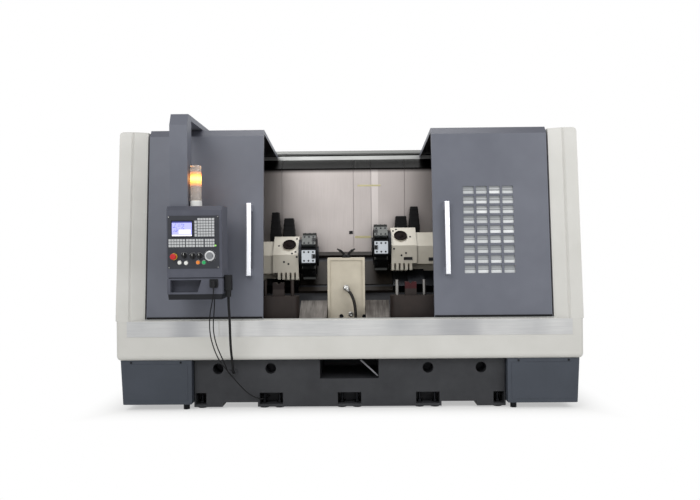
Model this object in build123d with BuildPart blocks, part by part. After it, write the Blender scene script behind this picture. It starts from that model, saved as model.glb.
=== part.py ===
from build123d import *
import math
import os

# Twin turret lathe: two facing turrets on a slant bed behind two sliding hood doors.
# Millimetres, +X to the operator's right, +Y to the back, +Z up.
# The origin is on the floor, under the middle of the machine's box.

os.makedirs("parts", exist_ok=True)

# Overall sizes
overall_width = 3830.0
overall_depth = 2300.0
overall_height = 2394.0
controls_reach = 390.0
run_gap = 0.3
cut_over = 6.0
sheet = 4.0

# Heights above the floor
casting_bottom = 15.0
base_box_bottom = 52.0
apron_bottom = 418.0
sill_top = 746.0
door_bottom = 755.0
trough_height = 560.0

# Front face and hood
front_rake = 5.3
door_front_depth = 40.0
door_pan = 36.0
door_open_edge = 708.0
door_bend_drop = 58.0
door_bend_run = 46.0
door_tongue = 16.0
arm_rise = 48.0

# Slant bed
bed_width = 2600.0
bed_front_depth = 100.0
slant_angle = 45.0
slant_foot_depth = 333.0
slant_run = 717.0

# Door rail along the back, with the bed's back and the cabinet behind it
rail_front_depth = 1240.0
rail_thick = 60.0
rail_drop = 132.0

# Cabinet at the back
cabinet_bottom = 130.0
cabinet_drop = 108.0
cabinet_inset = 40.0

# Pendant: its place in front of the left door
pendant_end_gap = 953.0
pendant_width = 428.0
pendant_bottom = 1118.0
pendant_height = 550.0

controls_y = -overall_depth / 2
front_y = controls_y + controls_reach
back_y = overall_depth / 2
half_width = overall_width / 2
pendant_right = pendant_end_gap - half_width
rake_slope = math.tan(math.radians(front_rake))
slant_sin = math.sin(math.radians(slant_angle))
slant_cos = math.cos(math.radians(slant_angle))
slant_head_height = trough_height + slant_run * slant_sin / slant_cos
door_top_height = overall_height - arm_rise
door_bend_height = door_top_height - door_bend_drop
rail_bottom = door_top_height - rail_drop
rail_back_depth = rail_front_depth + rail_thick
bed_back_depth = rail_back_depth
cabinet_top = door_top_height - cabinet_drop
pendant_left = pendant_right - pendant_width
pendant_top = pendant_bottom + pendant_height
sides = (("left", -1), ("right", 1))


def back(depth):
    """Return the Y of a depth measured back from the apron's front."""
    return front_y + depth


def raked(depth, height):
    """Return the Y of a face that starts at a depth at the sill and leans back with height."""
    return back(depth) + (height - sill_top) * rake_slope


def outline(plane, points):
    """Return a flat face on a plane through the points, in the plane's own axes."""
    with BuildSketch(plane) as flat:
        with BuildLine():
            Polyline(*points, close=True)
        make_face()
    return flat.sketch


def bent_sheet(plane, points, thickness, side):
    """Return the section of a sheet bent along the points, thickened to one side."""
    with BuildSketch(plane) as flat:
        with BuildLine():
            Polyline(*points)
            offset(amount=thickness, side=side)
        make_face()
    return flat.sketch


def panel(plane, centre, width, height, corner=0):
    """Return a rectangle on a plane, with round corners if a radius is given."""
    with BuildSketch(plane) as flat:
        with Locations(centre):
            if corner:
                RectangleRounded(width, height, corner)
            else:
                Rectangle(width, height)
    return flat.sketch


def discs(plane, centres, radius):
    """Return round faces of one radius on a plane."""
    with BuildSketch(plane) as flat:
        with Locations(*centres):
            Circle(radius)
    return flat.sketch


def keep(built, name):
    """Label a finished piece and write it to its own file."""
    built.part.label = name
    export_step(built.part, f"parts/{name}.step")


# Bed casting: sizes of its front openings
chip_half_width = 245.0
chip_bottom = 246.0
chip_top = 470.0
chip_depth = 620.0
lift_hole_radius = 45.0
lift_hole_depth = 160.0
lift_hole_height = 333.0
lift_hole_shares = (0.5038, 0.8423)
pocket_width = 196.0
pocket_bottom = 36.0
pocket_top = 132.0
pocket_depth = 150.0
pocket_pitch = 652.0
end_pocket_width = 90.0
end_pocket_inset = 60.0
notch_low = 765.0
notch_high = 1060.0
notch_top = 53.0
casting_round = 14.0
gland_radius = 22.0
gland_length = 26.0
gland_height = 300.0
gland_spacing = 36.0
gland_step = 6.0
gland_setback = 30.0

gland_x = pendant_right - gland_setback
gland_places = ((gland_x, gland_height), (gland_x + gland_spacing, gland_height + gland_step))
end_pocket_place = bed_width / 2 - end_pocket_inset

with BuildPart() as bed_casting:
    bed_section = (
        (back(bed_front_depth), casting_bottom),
        (back(bed_front_depth), trough_height),
        (back(slant_foot_depth), trough_height),
        (back(slant_foot_depth + slant_run), slant_head_height),
        (back(bed_back_depth), slant_head_height),
        (back(bed_back_depth), casting_bottom),
    )
    extrude(outline(Plane.YZ.offset(-bed_width / 2), bed_section), amount=bed_width)
    front_corners = bed_casting.edges().filter_by(Axis.Z).group_by(Axis.Y)[0]
    fillet(front_corners, casting_round)
    bed_front = Plane.XZ.offset(-back(bed_front_depth))
    chip_mid = (chip_bottom + chip_top) / 2
    extrude(
        panel(bed_front, (0, chip_mid), 2 * chip_half_width, chip_top - chip_bottom),
        amount=-chip_depth,
        mode=Mode.SUBTRACT,
    )
    lift_holes = [
        (sign * share * bed_width / 2, lift_hole_height) for _, sign in sides for share in lift_hole_shares
    ]
    extrude(discs(bed_front, lift_holes, lift_hole_radius), amount=-lift_hole_depth, mode=Mode.SUBTRACT)
    pocket_mid = (pocket_bottom + pocket_top) / 2
    pocket_height = pocket_top - pocket_bottom
    bolt_pockets = [(step * pocket_pitch, pocket_width) for step in (-1, 0, 1)]
    bolt_pockets += [(sign * end_pocket_place, end_pocket_width) for _, sign in sides]
    for pocket_x, width in bolt_pockets:
        extrude(
            panel(bed_front, (pocket_x, pocket_mid), width, pocket_height),
            amount=-pocket_depth,
            mode=Mode.SUBTRACT,
        )
    for _, sign in sides:
        extrude(
            panel(
                bed_front,
                (sign * (notch_low + notch_high) / 2, (casting_bottom + notch_top) / 2),
                notch_high - notch_low,
                notch_top - casting_bottom,
            ),
            amount=-(bed_back_depth - bed_front_depth),
            mode=Mode.SUBTRACT,
        )
    extrude(discs(bed_front, gland_places, gland_radius), amount=gland_length)
keep(bed_casting, "bed_casting")

# Levelling feet: pads under the casting, nuts and studs in its pockets, posts under the base boxes
foot_pad_radius = 38.0
stud_radius = 12.0
stud_height = 78.0
stud_nut_radius = 22.0
stud_nut_height = 22.0
stud_setback = 70.0
stud_edge = 12.0
rear_foot_inset = 120.0
box_foot_radius = 26.0
box_foot_inset = 62.0
box_foot_front = 76.0
box_foot_back = 80.0

base_box_front_depth = 34.0
base_box_back_gap = 70.0
base_box_back_depth = rail_back_depth - base_box_back_gap
box_foot_place = bed_width / 2 + box_foot_inset
box_foot_depths = (base_box_front_depth + box_foot_front, base_box_back_depth - box_foot_back)
stud_reach = pocket_width / 2 - stud_nut_radius - stud_edge
stud_places = [x + end * stud_reach for x, _ in bolt_pockets[:3] for _, end in sides]
stud_places += [sign * end_pocket_place for _, sign in sides]

with BuildPart() as leveling_feet:
    front_row = [(x, back(bed_front_depth + stud_setback)) for x in stud_places]
    rear_row = [(x, back(bed_back_depth - rear_foot_inset)) for x in stud_places]
    extrude(discs(Plane.XY, front_row + rear_row, foot_pad_radius), amount=casting_bottom)
    extrude(discs(Plane.XY.offset(pocket_bottom), front_row, stud_radius), amount=stud_height)
    with BuildSketch(Plane.XY.offset(pocket_bottom)):
        with Locations(*front_row):
            RegularPolygon(stud_nut_radius, 6)
    extrude(amount=stud_nut_height)
    box_feet = [(sign * box_foot_place, back(y)) for _, sign in sides for y in box_foot_depths]
    extrude(discs(Plane.XY, box_feet, box_foot_radius), amount=base_box_bottom)
keep(leveling_feet, "leveling_feet")

# Base boxes: folded sheet boxes under the ends, leaning in a little towards the floor
base_box_end_gap = 27.0
base_box_lean = 18.0
base_box_round = 8.0
base_panel_margin = 34.0
base_panel_relief = 3.0

for side, sign in sides:
    with BuildPart() as base_box:
        inner_x = sign * bed_width / 2
        outer_x = sign * (half_width - base_box_end_gap)
        foot_x = outer_x - sign * base_box_lean
        box_section = (
            (inner_x, base_box_bottom),
            (foot_x, base_box_bottom),
            (outer_x, apron_bottom),
            (inner_x, apron_bottom),
        )
        extrude(
            outline(Plane.XZ.offset(-back(base_box_front_depth)), box_section),
            amount=-(base_box_back_depth - base_box_front_depth),
        )
        fillet(base_box.edges().filter_by(Axis.Y).group_by(Axis.Z)[0], base_box_round)
        extrude(
            panel(
                Plane.XZ.offset(-back(base_box_front_depth)),
                ((inner_x + foot_x) / 2, (base_box_bottom + apron_bottom) / 2),
                abs(foot_x - inner_x) - 2 * base_panel_margin,
                apron_bottom - base_box_bottom - 2 * base_panel_margin,
                base_box_round,
            ),
            amount=base_panel_relief,
        )
    keep(base_box, f"{side}_base_box")

# Front apron: a deep cream front with a round lower edge, closed at both ends
apron_nose = 44.0
apron_corner = 30.0

with BuildPart() as front_apron:
    with BuildSketch(Plane.YZ.offset(-half_width)):
        with BuildLine():
            Line((back(0), sill_top), (back(0), apron_bottom + apron_nose))
            RadiusArc(
                (back(0), apron_bottom + apron_nose), (back(apron_nose), apron_bottom), -apron_nose
            )
            Polyline(
                (back(apron_nose), apron_bottom),
                (back(bed_front_depth), apron_bottom),
                (back(bed_front_depth), sill_top),
                (back(0), sill_top),
            )
        make_face()
    extrude(amount=overall_width)
    apron_ends = front_apron.edges().filter_by(Axis.Z).group_by(Axis.Y)[0]
    fillet(apron_ends, apron_corner)
keep(front_apron, "front_apron")

# Sill plates: brushed stainless strips along the top of the apron, butted at one seam
sill_plate_end = 93.0
sill_plate_height = 128.0
sill_plate_thick = 3.0
sill_plate_drop = 3.0
sill_seam_place = -1062.0
sill_seam_gap = 7.0
sill_plate_half = half_width - sill_plate_end

with BuildPart() as sill_plate:
    sill_spans = (
        (-sill_plate_half, sill_seam_place - sill_seam_gap / 2),
        (sill_seam_place + sill_seam_gap / 2, sill_plate_half),
    )
    for low, high in sill_spans:
        extrude(
            panel(
                Plane.XZ.offset(-back(0)),
                ((low + high) / 2, sill_top - sill_plate_drop - sill_plate_height / 2),
                high - low,
                sill_plate_height,
            ),
            amount=sill_plate_thick,
        )
keep(sill_plate, "sill_plate")

# End covers: column with a V groove and a slanted inner face, side wall and roof strip in one sheet body
column_drop = 20.0
column_flange = 112.0
column_slant = 114.0
column_step = 50.0
column_body = 150.0
column_groove = 12.0
column_round = 34.0
wall_sheet = 12.0
wall_inset = 3.0
wall_back_drop = 76.0

column_top = door_top_height - column_drop
wall_back_height = column_top - wall_back_drop
column_inner = half_width - column_flange - column_slant
wall_outer = half_width - wall_inset

for side, sign in sides:
    with BuildPart() as end_cover:
        groove_x = half_width - column_flange
        column_plan = (
            (sign * half_width, back(0)),
            (sign * half_width, back(column_body)),
            (sign * column_inner, back(column_body)),
            (sign * column_inner, back(column_step)),
            (sign * (groove_x - column_groove), back(column_groove / 2)),
            (sign * groove_x, back(column_groove)),
            (sign * (groove_x + column_groove), back(0)),
        )
        column_length = (column_top - sill_top) / math.cos(math.radians(front_rake))
        extrude(
            outline(Plane.XY.offset(sill_top), column_plan),
            amount=column_length,
            dir=(0, math.sin(math.radians(front_rake)), math.cos(math.radians(front_rake))),
        )
        column_edges = end_cover.edges().group_by(Axis.Z)[-1].sort_by(Axis.X)
        fillet(column_edges[-1] if sign > 0 else column_edges[0], column_round)
        wall_front_top = raked(bed_front_depth, column_top - column_round)
        wall_section = (
            (back(bed_front_depth), apron_bottom),
            (back(bed_front_depth), sill_top),
            (wall_front_top, column_top - column_round),
            (back(bed_back_depth), wall_back_height),
            (back(bed_back_depth), apron_bottom),
        )
        extrude(outline(Plane.YZ.offset(sign * wall_outer), wall_section), amount=-sign * wall_sheet)
        roof_section = (
            (wall_front_top, column_top - column_round - wall_sheet),
            (wall_front_top, column_top - column_round),
            (back(bed_back_depth), wall_back_height),
            (back(bed_back_depth), wall_back_height - wall_sheet),
        )
        extrude(
            outline(Plane.YZ.offset(sign * column_inner), roof_section),
            amount=sign * (wall_outer - column_inner),
        )
    keep(end_cover, f"{side}_end_cover")

# Fixed guards: bent sheets behind the open doors, under the hoods
guard_depth = 96.0
guard_inner = 908.0
guard_drop = 26.0
guard_rear_rise = 2.0
guard_rear_gap = 14.0

guard_top = door_bend_height - guard_drop
guard_rear_height = rail_bottom + guard_rear_rise
guard_rear_depth = rail_front_depth - guard_rear_gap

with BuildPart() as fixed_guards:
    for _, sign in sides:
        guard_line = (
            (back(guard_depth), sill_top + sheet * rake_slope),
            (raked(guard_depth, guard_top), guard_top),
            (back(guard_rear_depth), guard_rear_height),
        )
        extrude(
            bent_sheet(Plane.YZ.offset(sign * guard_inner), guard_line, sheet, Side.RIGHT),
            amount=sign * (column_inner - guard_inner),
        )
keep(fixed_guards, "fixed_guards")

# Door rails: a channel along the back for the hoods' tongues and a bar along the sill
rail_web = 34.0
rail_lower_lip = 42.0
rail_slot = 20.0
rail_upper_lip = 28.0
bar_depth = 48.0
bar_thick = 20.0

rail_half = column_inner
slot_bottom = rail_bottom + rail_lower_lip
slot_top = slot_bottom + rail_slot
rail_top = slot_top + rail_upper_lip

with BuildPart() as door_rails:
    channel_section = (
        (back(rail_front_depth), rail_bottom),
        (back(rail_front_depth), slot_bottom),
        (back(rail_back_depth - rail_web), slot_bottom),
        (back(rail_back_depth - rail_web), slot_top),
        (back(rail_front_depth), slot_top),
        (back(rail_front_depth), rail_top),
        (back(rail_back_depth), rail_top),
        (back(rail_back_depth), rail_bottom),
    )
    extrude(outline(Plane.YZ.offset(-rail_half), channel_section), amount=2 * rail_half)
    extrude(
        panel(
            Plane.YZ.offset(-rail_half),
            (back(bar_depth + bar_thick / 2), (sill_top + door_bottom - run_gap) / 2),
            bar_thick,
            door_bottom - run_gap - sill_top,
        ),
        amount=2 * rail_half,
    )
keep(door_rails, "door_rails")

# Rear cabinet: closed sheet box with three plain doors at the back
cabinet_door_count = 3
cabinet_door_margin = 46.0
cabinet_door_relief = 5.0
cabinet_round = 10.0

with BuildPart() as rear_cabinet:
    cabinet_half = half_width - cabinet_inset
    cabinet_front = back(rail_back_depth)
    cabinet_depth = back_y - cabinet_door_relief - cabinet_front
    extrude(
        panel(
            Plane.XY.offset(cabinet_bottom),
            (0, cabinet_front + cabinet_depth / 2),
            2 * cabinet_half,
            cabinet_depth,
        ),
        amount=cabinet_top - cabinet_bottom,
    )
    fillet(rear_cabinet.edges().filter_by(Axis.Z).group_by(Axis.Y)[-1], cabinet_round)
    cabinet_door_pitch = (2 * cabinet_half - cabinet_door_margin) / cabinet_door_count
    cabinet_door_width = cabinet_door_pitch - cabinet_door_margin
    cabinet_door_height = cabinet_top - cabinet_bottom - 2 * cabinet_door_margin
    for index in range(cabinet_door_count):
        door_x = (index - (cabinet_door_count - 1) / 2) * cabinet_door_pitch
        extrude(
            panel(
                Plane.XZ.offset(-(back_y - cabinet_door_relief)),
                (door_x, (cabinet_bottom + cabinet_top) / 2),
                cabinet_door_width,
                cabinet_door_height,
                cabinet_round,
            ),
            amount=-cabinet_door_relief,
        )
keep(rear_cabinet, "rear_cabinet")

# Back wall: stainless panels that stand on the bed's head, bent back to the rail at the top
wall_bend_rise = 110.0
wall_seam_shares = (-0.3854, 0.0261, 0.1285, 0.3209)
wall_seam_gap = 3.0

wall_depth = slant_foot_depth + slant_run
wall_top = rail_bottom - wall_bend_rise
wall_seams = tuple(share * column_inner for share in wall_seam_shares)

with BuildPart() as back_wall:
    wall_edges = (-column_inner,) + wall_seams + (column_inner,)
    for low, high in zip(wall_edges, wall_edges[1:]):
        wall_line = (
            (back(wall_depth), slant_head_height),
            (back(wall_depth), wall_top),
            (back(rail_front_depth), rail_bottom - sheet),
            (back(rail_back_depth), rail_bottom - sheet),
        )
        extrude(
            bent_sheet(Plane.YZ.offset(low + wall_seam_gap / 2), wall_line, sheet, Side.LEFT),
            amount=high - low - wall_seam_gap,
        )
keep(back_wall, "back_wall")

# Slant bed frame: X along the bed, the second axis up the slant, the third away from it
turret_foot_depth = 866.0
bed_origin = Vector(
    0,
    back(turret_foot_depth),
    trough_height + (turret_foot_depth - slant_foot_depth) * slant_sin / slant_cos,
)
up_slant = Vector(0, slant_cos, slant_sin)
off_slant = Vector(0, -slant_sin, slant_cos)
bed_plane = Plane(origin=bed_origin, x_dir=(1, 0, 0), z_dir=off_slant)


def bed_section_plane(x):
    """Return the plane across the bed at X, with axes up the slant and away from it."""
    return Plane(origin=bed_origin + Vector(x, 0, 0), x_dir=up_slant, z_dir=(1, 0, 0))


# Slide ways: two square guide ways along the slant
way_half_spacing = 226.0
way_width = 46.0
way_height = 34.0
way_end_gap = 60.0
way_half_length = bed_width / 2 - way_end_gap

with BuildPart() as slide_ways:
    for _, sign in sides:
        extrude(
            panel(bed_plane, (0, sign * way_half_spacing), 2 * way_half_length, way_width),
            amount=way_height,
        )
keep(slide_ways, "slide_ways")

# Way cover: a plate between the ways with raised laps along it
cover_half_width = 148.0
cover_thick = 8.0
cover_lap_width = 18.0
cover_lap_height = 3.0
cover_lap_pitch = 206.0
cover_lap_count = 12

with BuildPart() as way_cover:
    extrude(
        panel(bed_plane, (0, 0), 2 * way_half_length, 2 * cover_half_width), amount=cover_thick
    )
    with BuildSketch(bed_plane.offset(cover_thick)):
        with GridLocations(cover_lap_pitch, 0, cover_lap_count, 1):
            Rectangle(cover_lap_width, 2 * cover_half_width)
    extrude(amount=cover_lap_height)
keep(way_cover, "way_cover")

# Centre unit: cream box on the slant with a raised rim round its front and a recessed field
centre_low = -184.0
centre_high = 140.0
centre_front_depth = 350.0
centre_back_depth = 660.0
centre_top = 1246.0
centre_slope = 70.0
centre_rim = 20.0
centre_rim_proud = 14.0
centre_round = 12.0


def slant_height(depth):
    """Return the height of the slant's surface at a depth."""
    return trough_height + (depth - slant_foot_depth) * slant_sin / slant_cos


centre_mid = (centre_low + centre_high) / 2
centre_width = centre_high - centre_low
centre_front = Plane.XZ.offset(-back(centre_front_depth))

with BuildPart() as centre_unit:
    centre_section = (
        (back(centre_front_depth), slant_height(centre_front_depth)),
        (back(centre_front_depth), centre_top),
        (back(centre_back_depth - centre_slope), centre_top),
        (back(centre_back_depth), centre_top - centre_slope),
        (back(centre_back_depth), slant_height(centre_back_depth)),
    )
    extrude(outline(Plane.YZ.offset(centre_low), centre_section), amount=centre_width)
    rim_bottom = slant_height(centre_front_depth) + centre_rim
    rim_mid = (rim_bottom + centre_top) / 2
    rim_height = centre_top - rim_bottom
    with BuildSketch(centre_front):
        with Locations((centre_mid, rim_mid)):
            RectangleRounded(centre_width, rim_height, centre_round)
            RectangleRounded(
                centre_width - 2 * centre_rim,
                rim_height - 2 * centre_rim,
                centre_round,
                mode=Mode.SUBTRACT,
            )
    extrude(amount=centre_rim_proud)
keep(centre_unit, "centre_unit")

# Coolant lines: an elbow and hose on the centre unit's front, two jointed nozzles on its top
elbow_height = 985.0
elbow_x_share = 0.50
elbow_base_radius = 27.0
elbow_base_length = 18.0
hose_radius = 13.0
hose_reach = 66.0
hose_side = 74.0
hose_bend = 34.0
hose_fall = 104.0
nozzle_setback = 80.0
nozzle_spacing = 34.0
nozzle_radius = 9.0
nozzle_foot_radius = 17.0
nozzle_foot_height = 16.0
nozzle_rise = 46.0
nozzle_lean = 44.0
nozzle_tip_reach = 34.0
nozzle_tip_rise = 12.0
nozzle_tip_lean = 30.0
nozzle_tip_radius = 5.0

with BuildPart() as coolant_lines:
    elbow_x = centre_low + elbow_x_share * centre_width
    elbow_start = Vector(elbow_x, back(centre_front_depth), elbow_height)
    with BuildSketch(Plane(origin=elbow_start, z_dir=(0, -1, 0))):
        Circle(elbow_base_radius)
    extrude(amount=elbow_base_length)
    hose_drop = elbow_height - trough_height
    hose_points = (
        elbow_start,
        elbow_start + Vector(0, -hose_reach, 0),
        elbow_start + Vector(hose_side, -hose_reach, -hose_fall),
        elbow_start + Vector(hose_side, -hose_reach, -hose_drop),
    )
    with BuildLine() as hose_line:
        FilletPolyline(*hose_points, radius=hose_bend)
    with BuildSketch(Plane(origin=elbow_start, z_dir=(0, -1, 0))):
        Circle(hose_radius)
    sweep(path=hose_line.wires()[0])
    for _, sign in sides:
        nozzle_x = centre_mid + sign * nozzle_spacing / 2
        nozzle_foot = Vector(nozzle_x, back(centre_front_depth + nozzle_setback), centre_top)
        nozzle_neck = nozzle_foot + Vector(0, 0, nozzle_foot_height)
        nozzle_head = nozzle_neck + Vector(sign * nozzle_lean, 0, nozzle_rise)
        nozzle_tip = nozzle_head + Vector(sign * nozzle_tip_lean, -nozzle_tip_reach, nozzle_tip_rise)
        with BuildSketch(Plane(origin=nozzle_foot)):
            Circle(nozzle_foot_radius)
        extrude(amount=nozzle_foot_height)
        with Locations(nozzle_neck, nozzle_head):
            Sphere(nozzle_radius)
        with BuildSketch(Plane(origin=nozzle_neck, z_dir=nozzle_head - nozzle_neck)):
            Circle(nozzle_radius)
        extrude(amount=(nozzle_head - nozzle_neck).length)
        tip_plane = Plane(origin=nozzle_head, z_dir=nozzle_tip - nozzle_head)
        with BuildSketch(tip_plane):
            Circle(nozzle_radius)
        with BuildSketch(tip_plane.offset((nozzle_tip - nozzle_head).length)):
            Circle(nozzle_tip_radius)
        loft()
keep(coolant_lines, "coolant_lines")

# Drip trays: bent stainless covers between the centre unit and the work rests
tray_gap = 4.0
tray_front_depth = 112.0
tray_front_height = 716.0
tray_rear_depth = 420.0
tray_rear_height = 872.0
rest_inner = {"left": 424.0, "right": 354.0}

tray_spans = (
    (tray_gap - rest_inner["left"], centre_low - tray_gap),
    (centre_high + tray_gap, rest_inner["right"] - tray_gap),
)

with BuildPart() as drip_trays:
    for low, high in tray_spans:
        tray_line = (
            (back(tray_front_depth), trough_height),
            (back(tray_front_depth), tray_front_height),
            (back(tray_rear_depth), tray_rear_height),
            (back(tray_rear_depth), slant_height(tray_rear_depth) + sheet),
        )
        extrude(
            bent_sheet(Plane.YZ.offset(low), tray_line, sheet, Side.RIGHT), amount=high - low
        )
keep(drip_trays, "drip_trays")

# Work rests: dark blocks in the trough, each with two posts and a red jaw block between them
rest_front_depth = 170.0
rest_back_depth = 326.0
rest_top = 926.0
rest_length = 380.0
rest_round = 60.0
post_radius = 15.0
post_height = 132.0
post_inset = 58.0
post_spacing = 232.0
jaw_width = 96.0
jaw_depth = 70.0
jaw_seat = 58.0
jaw_height = 56.0
jaw_notch = 34.0
rest_depth_mid = (rest_front_depth + rest_back_depth) / 2

for side, sign in sides:
    rest_mid = sign * (rest_inner[side] + rest_length / 2)
    first_post = rest_inner[side] + post_inset
    with BuildPart() as work_rest:
        extrude(
            panel(
                Plane.XY.offset(trough_height),
                (rest_mid, back(rest_depth_mid)),
                rest_length,
                rest_back_depth - rest_front_depth,
            ),
            amount=rest_top - trough_height,
        )
        inner_edges = work_rest.edges().filter_by(Axis.Z).sort_by(Axis.X)
        fillet(inner_edges[:2] if sign > 0 else inner_edges[2:], rest_round)
        posts = [(sign * (first_post + step * post_spacing), back(rest_depth_mid)) for step in range(2)]
        extrude(discs(Plane.XY.offset(rest_top), posts, post_radius), amount=post_height)
        jaw_place = (sign * (first_post + post_spacing / 2), back(rest_depth_mid))
        extrude(
            panel(Plane.XY.offset(rest_top), jaw_place, jaw_width, jaw_depth), amount=jaw_seat
        )
    keep(work_rest, f"{side}_work_rest")

with BuildPart() as rest_jaws:
    for side, sign in sides:
        jaw_x = sign * (rest_inner[side] + post_inset + post_spacing / 2)
        jaw_section = (
            (jaw_x - jaw_width / 2, 0),
            (jaw_x + jaw_width / 2, 0),
            (jaw_x + jaw_width / 2, jaw_height),
            (jaw_x + jaw_notch / 2, jaw_height),
            (jaw_x, jaw_height - jaw_notch / 2),
            (jaw_x - jaw_notch / 2, jaw_height),
            (jaw_x - jaw_width / 2, jaw_height),
        )
        jaw_front = back(rest_depth_mid) - jaw_depth / 2
        jaw_plane = Plane(
            origin=(0, jaw_front, rest_top + jaw_seat), x_dir=(1, 0, 0), z_dir=(0, -1, 0)
        )
        extrude(outline(jaw_plane, jaw_section), amount=-jaw_depth)
keep(rest_jaws, "rest_jaws")

# Turrets: saddle on the ways, housing on the saddle's cross guide, disc with tool blocks
disc_inner = {"left": 290.0, "right": 224.0}
cross_place = {"left": 0.0, "right": 106.0}
axis_height = 235.0
disc_width = 138.0
disc_stations = 8
disc_apothem = 166.0
disc_edge = 8.0
hub_radius = 92.0
hub_proud = 12.0
flange_radius = 158.0
flange_width = 26.0
block_width = 112.0
block_height = 44.0
block_edge = 5.0
block_slot_width = 30.0
block_slot_depth = 26.0
housing_length = 232.0
housing_size = 182.0
housing_section_shares = (
    (-0.77, -0.80),
    (-0.77, 0.09),
    (0.14, 1.00),
    (0.80, 1.00),
    (1.10, 0.50),
    (0.95, 0.28),
    (-0.35, -1.00),
)
rear_box_length = 176.0
rear_box_shares = (
    (-0.66, -0.84),
    (-0.66, 0.06),
    (0.05, 0.75),
    (0.62, 0.75),
    (0.88, 0.40),
    (0.80, 0.13),
    (-0.17, -0.84),
)
tooth_count = 5
tooth_width = 24.0
tooth_pitch = 41.0
tooth_depth = 58.0
tooth_drop = 62.0
tooth_lap = 24.0
cap_radius = 62.0
cap_height = 8.0
cap_recess = 46.0
cap_place_share = 0.38
slide_half_length = 170.0
slide_thick = 74.0
saddle_half_width = 250.0
saddle_top = 95.0
saddle_lift = 3.0
saddle_length = 424.0
saddle_inset = 12.0
guide_width = 150.0
guide_height = 23.0
motor_tall_width = 104.0
motor_short_width = 116.0
motor_depth = 112.0
motor_tall_height = {"left": 228.0, "right": 200.0}
motor_short_height = {"left": 172.0, "right": 110.0}
motor_taper = 5.0
motor_gap = 14.0
motor_overhang = 46.0
motor_round = 10.0
motor_edge = 6.0

saddle_bottom = cover_thick + cover_lap_height + saddle_lift
way_slot = way_width / 2 + run_gap
way_roof = way_height + run_gap

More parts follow.
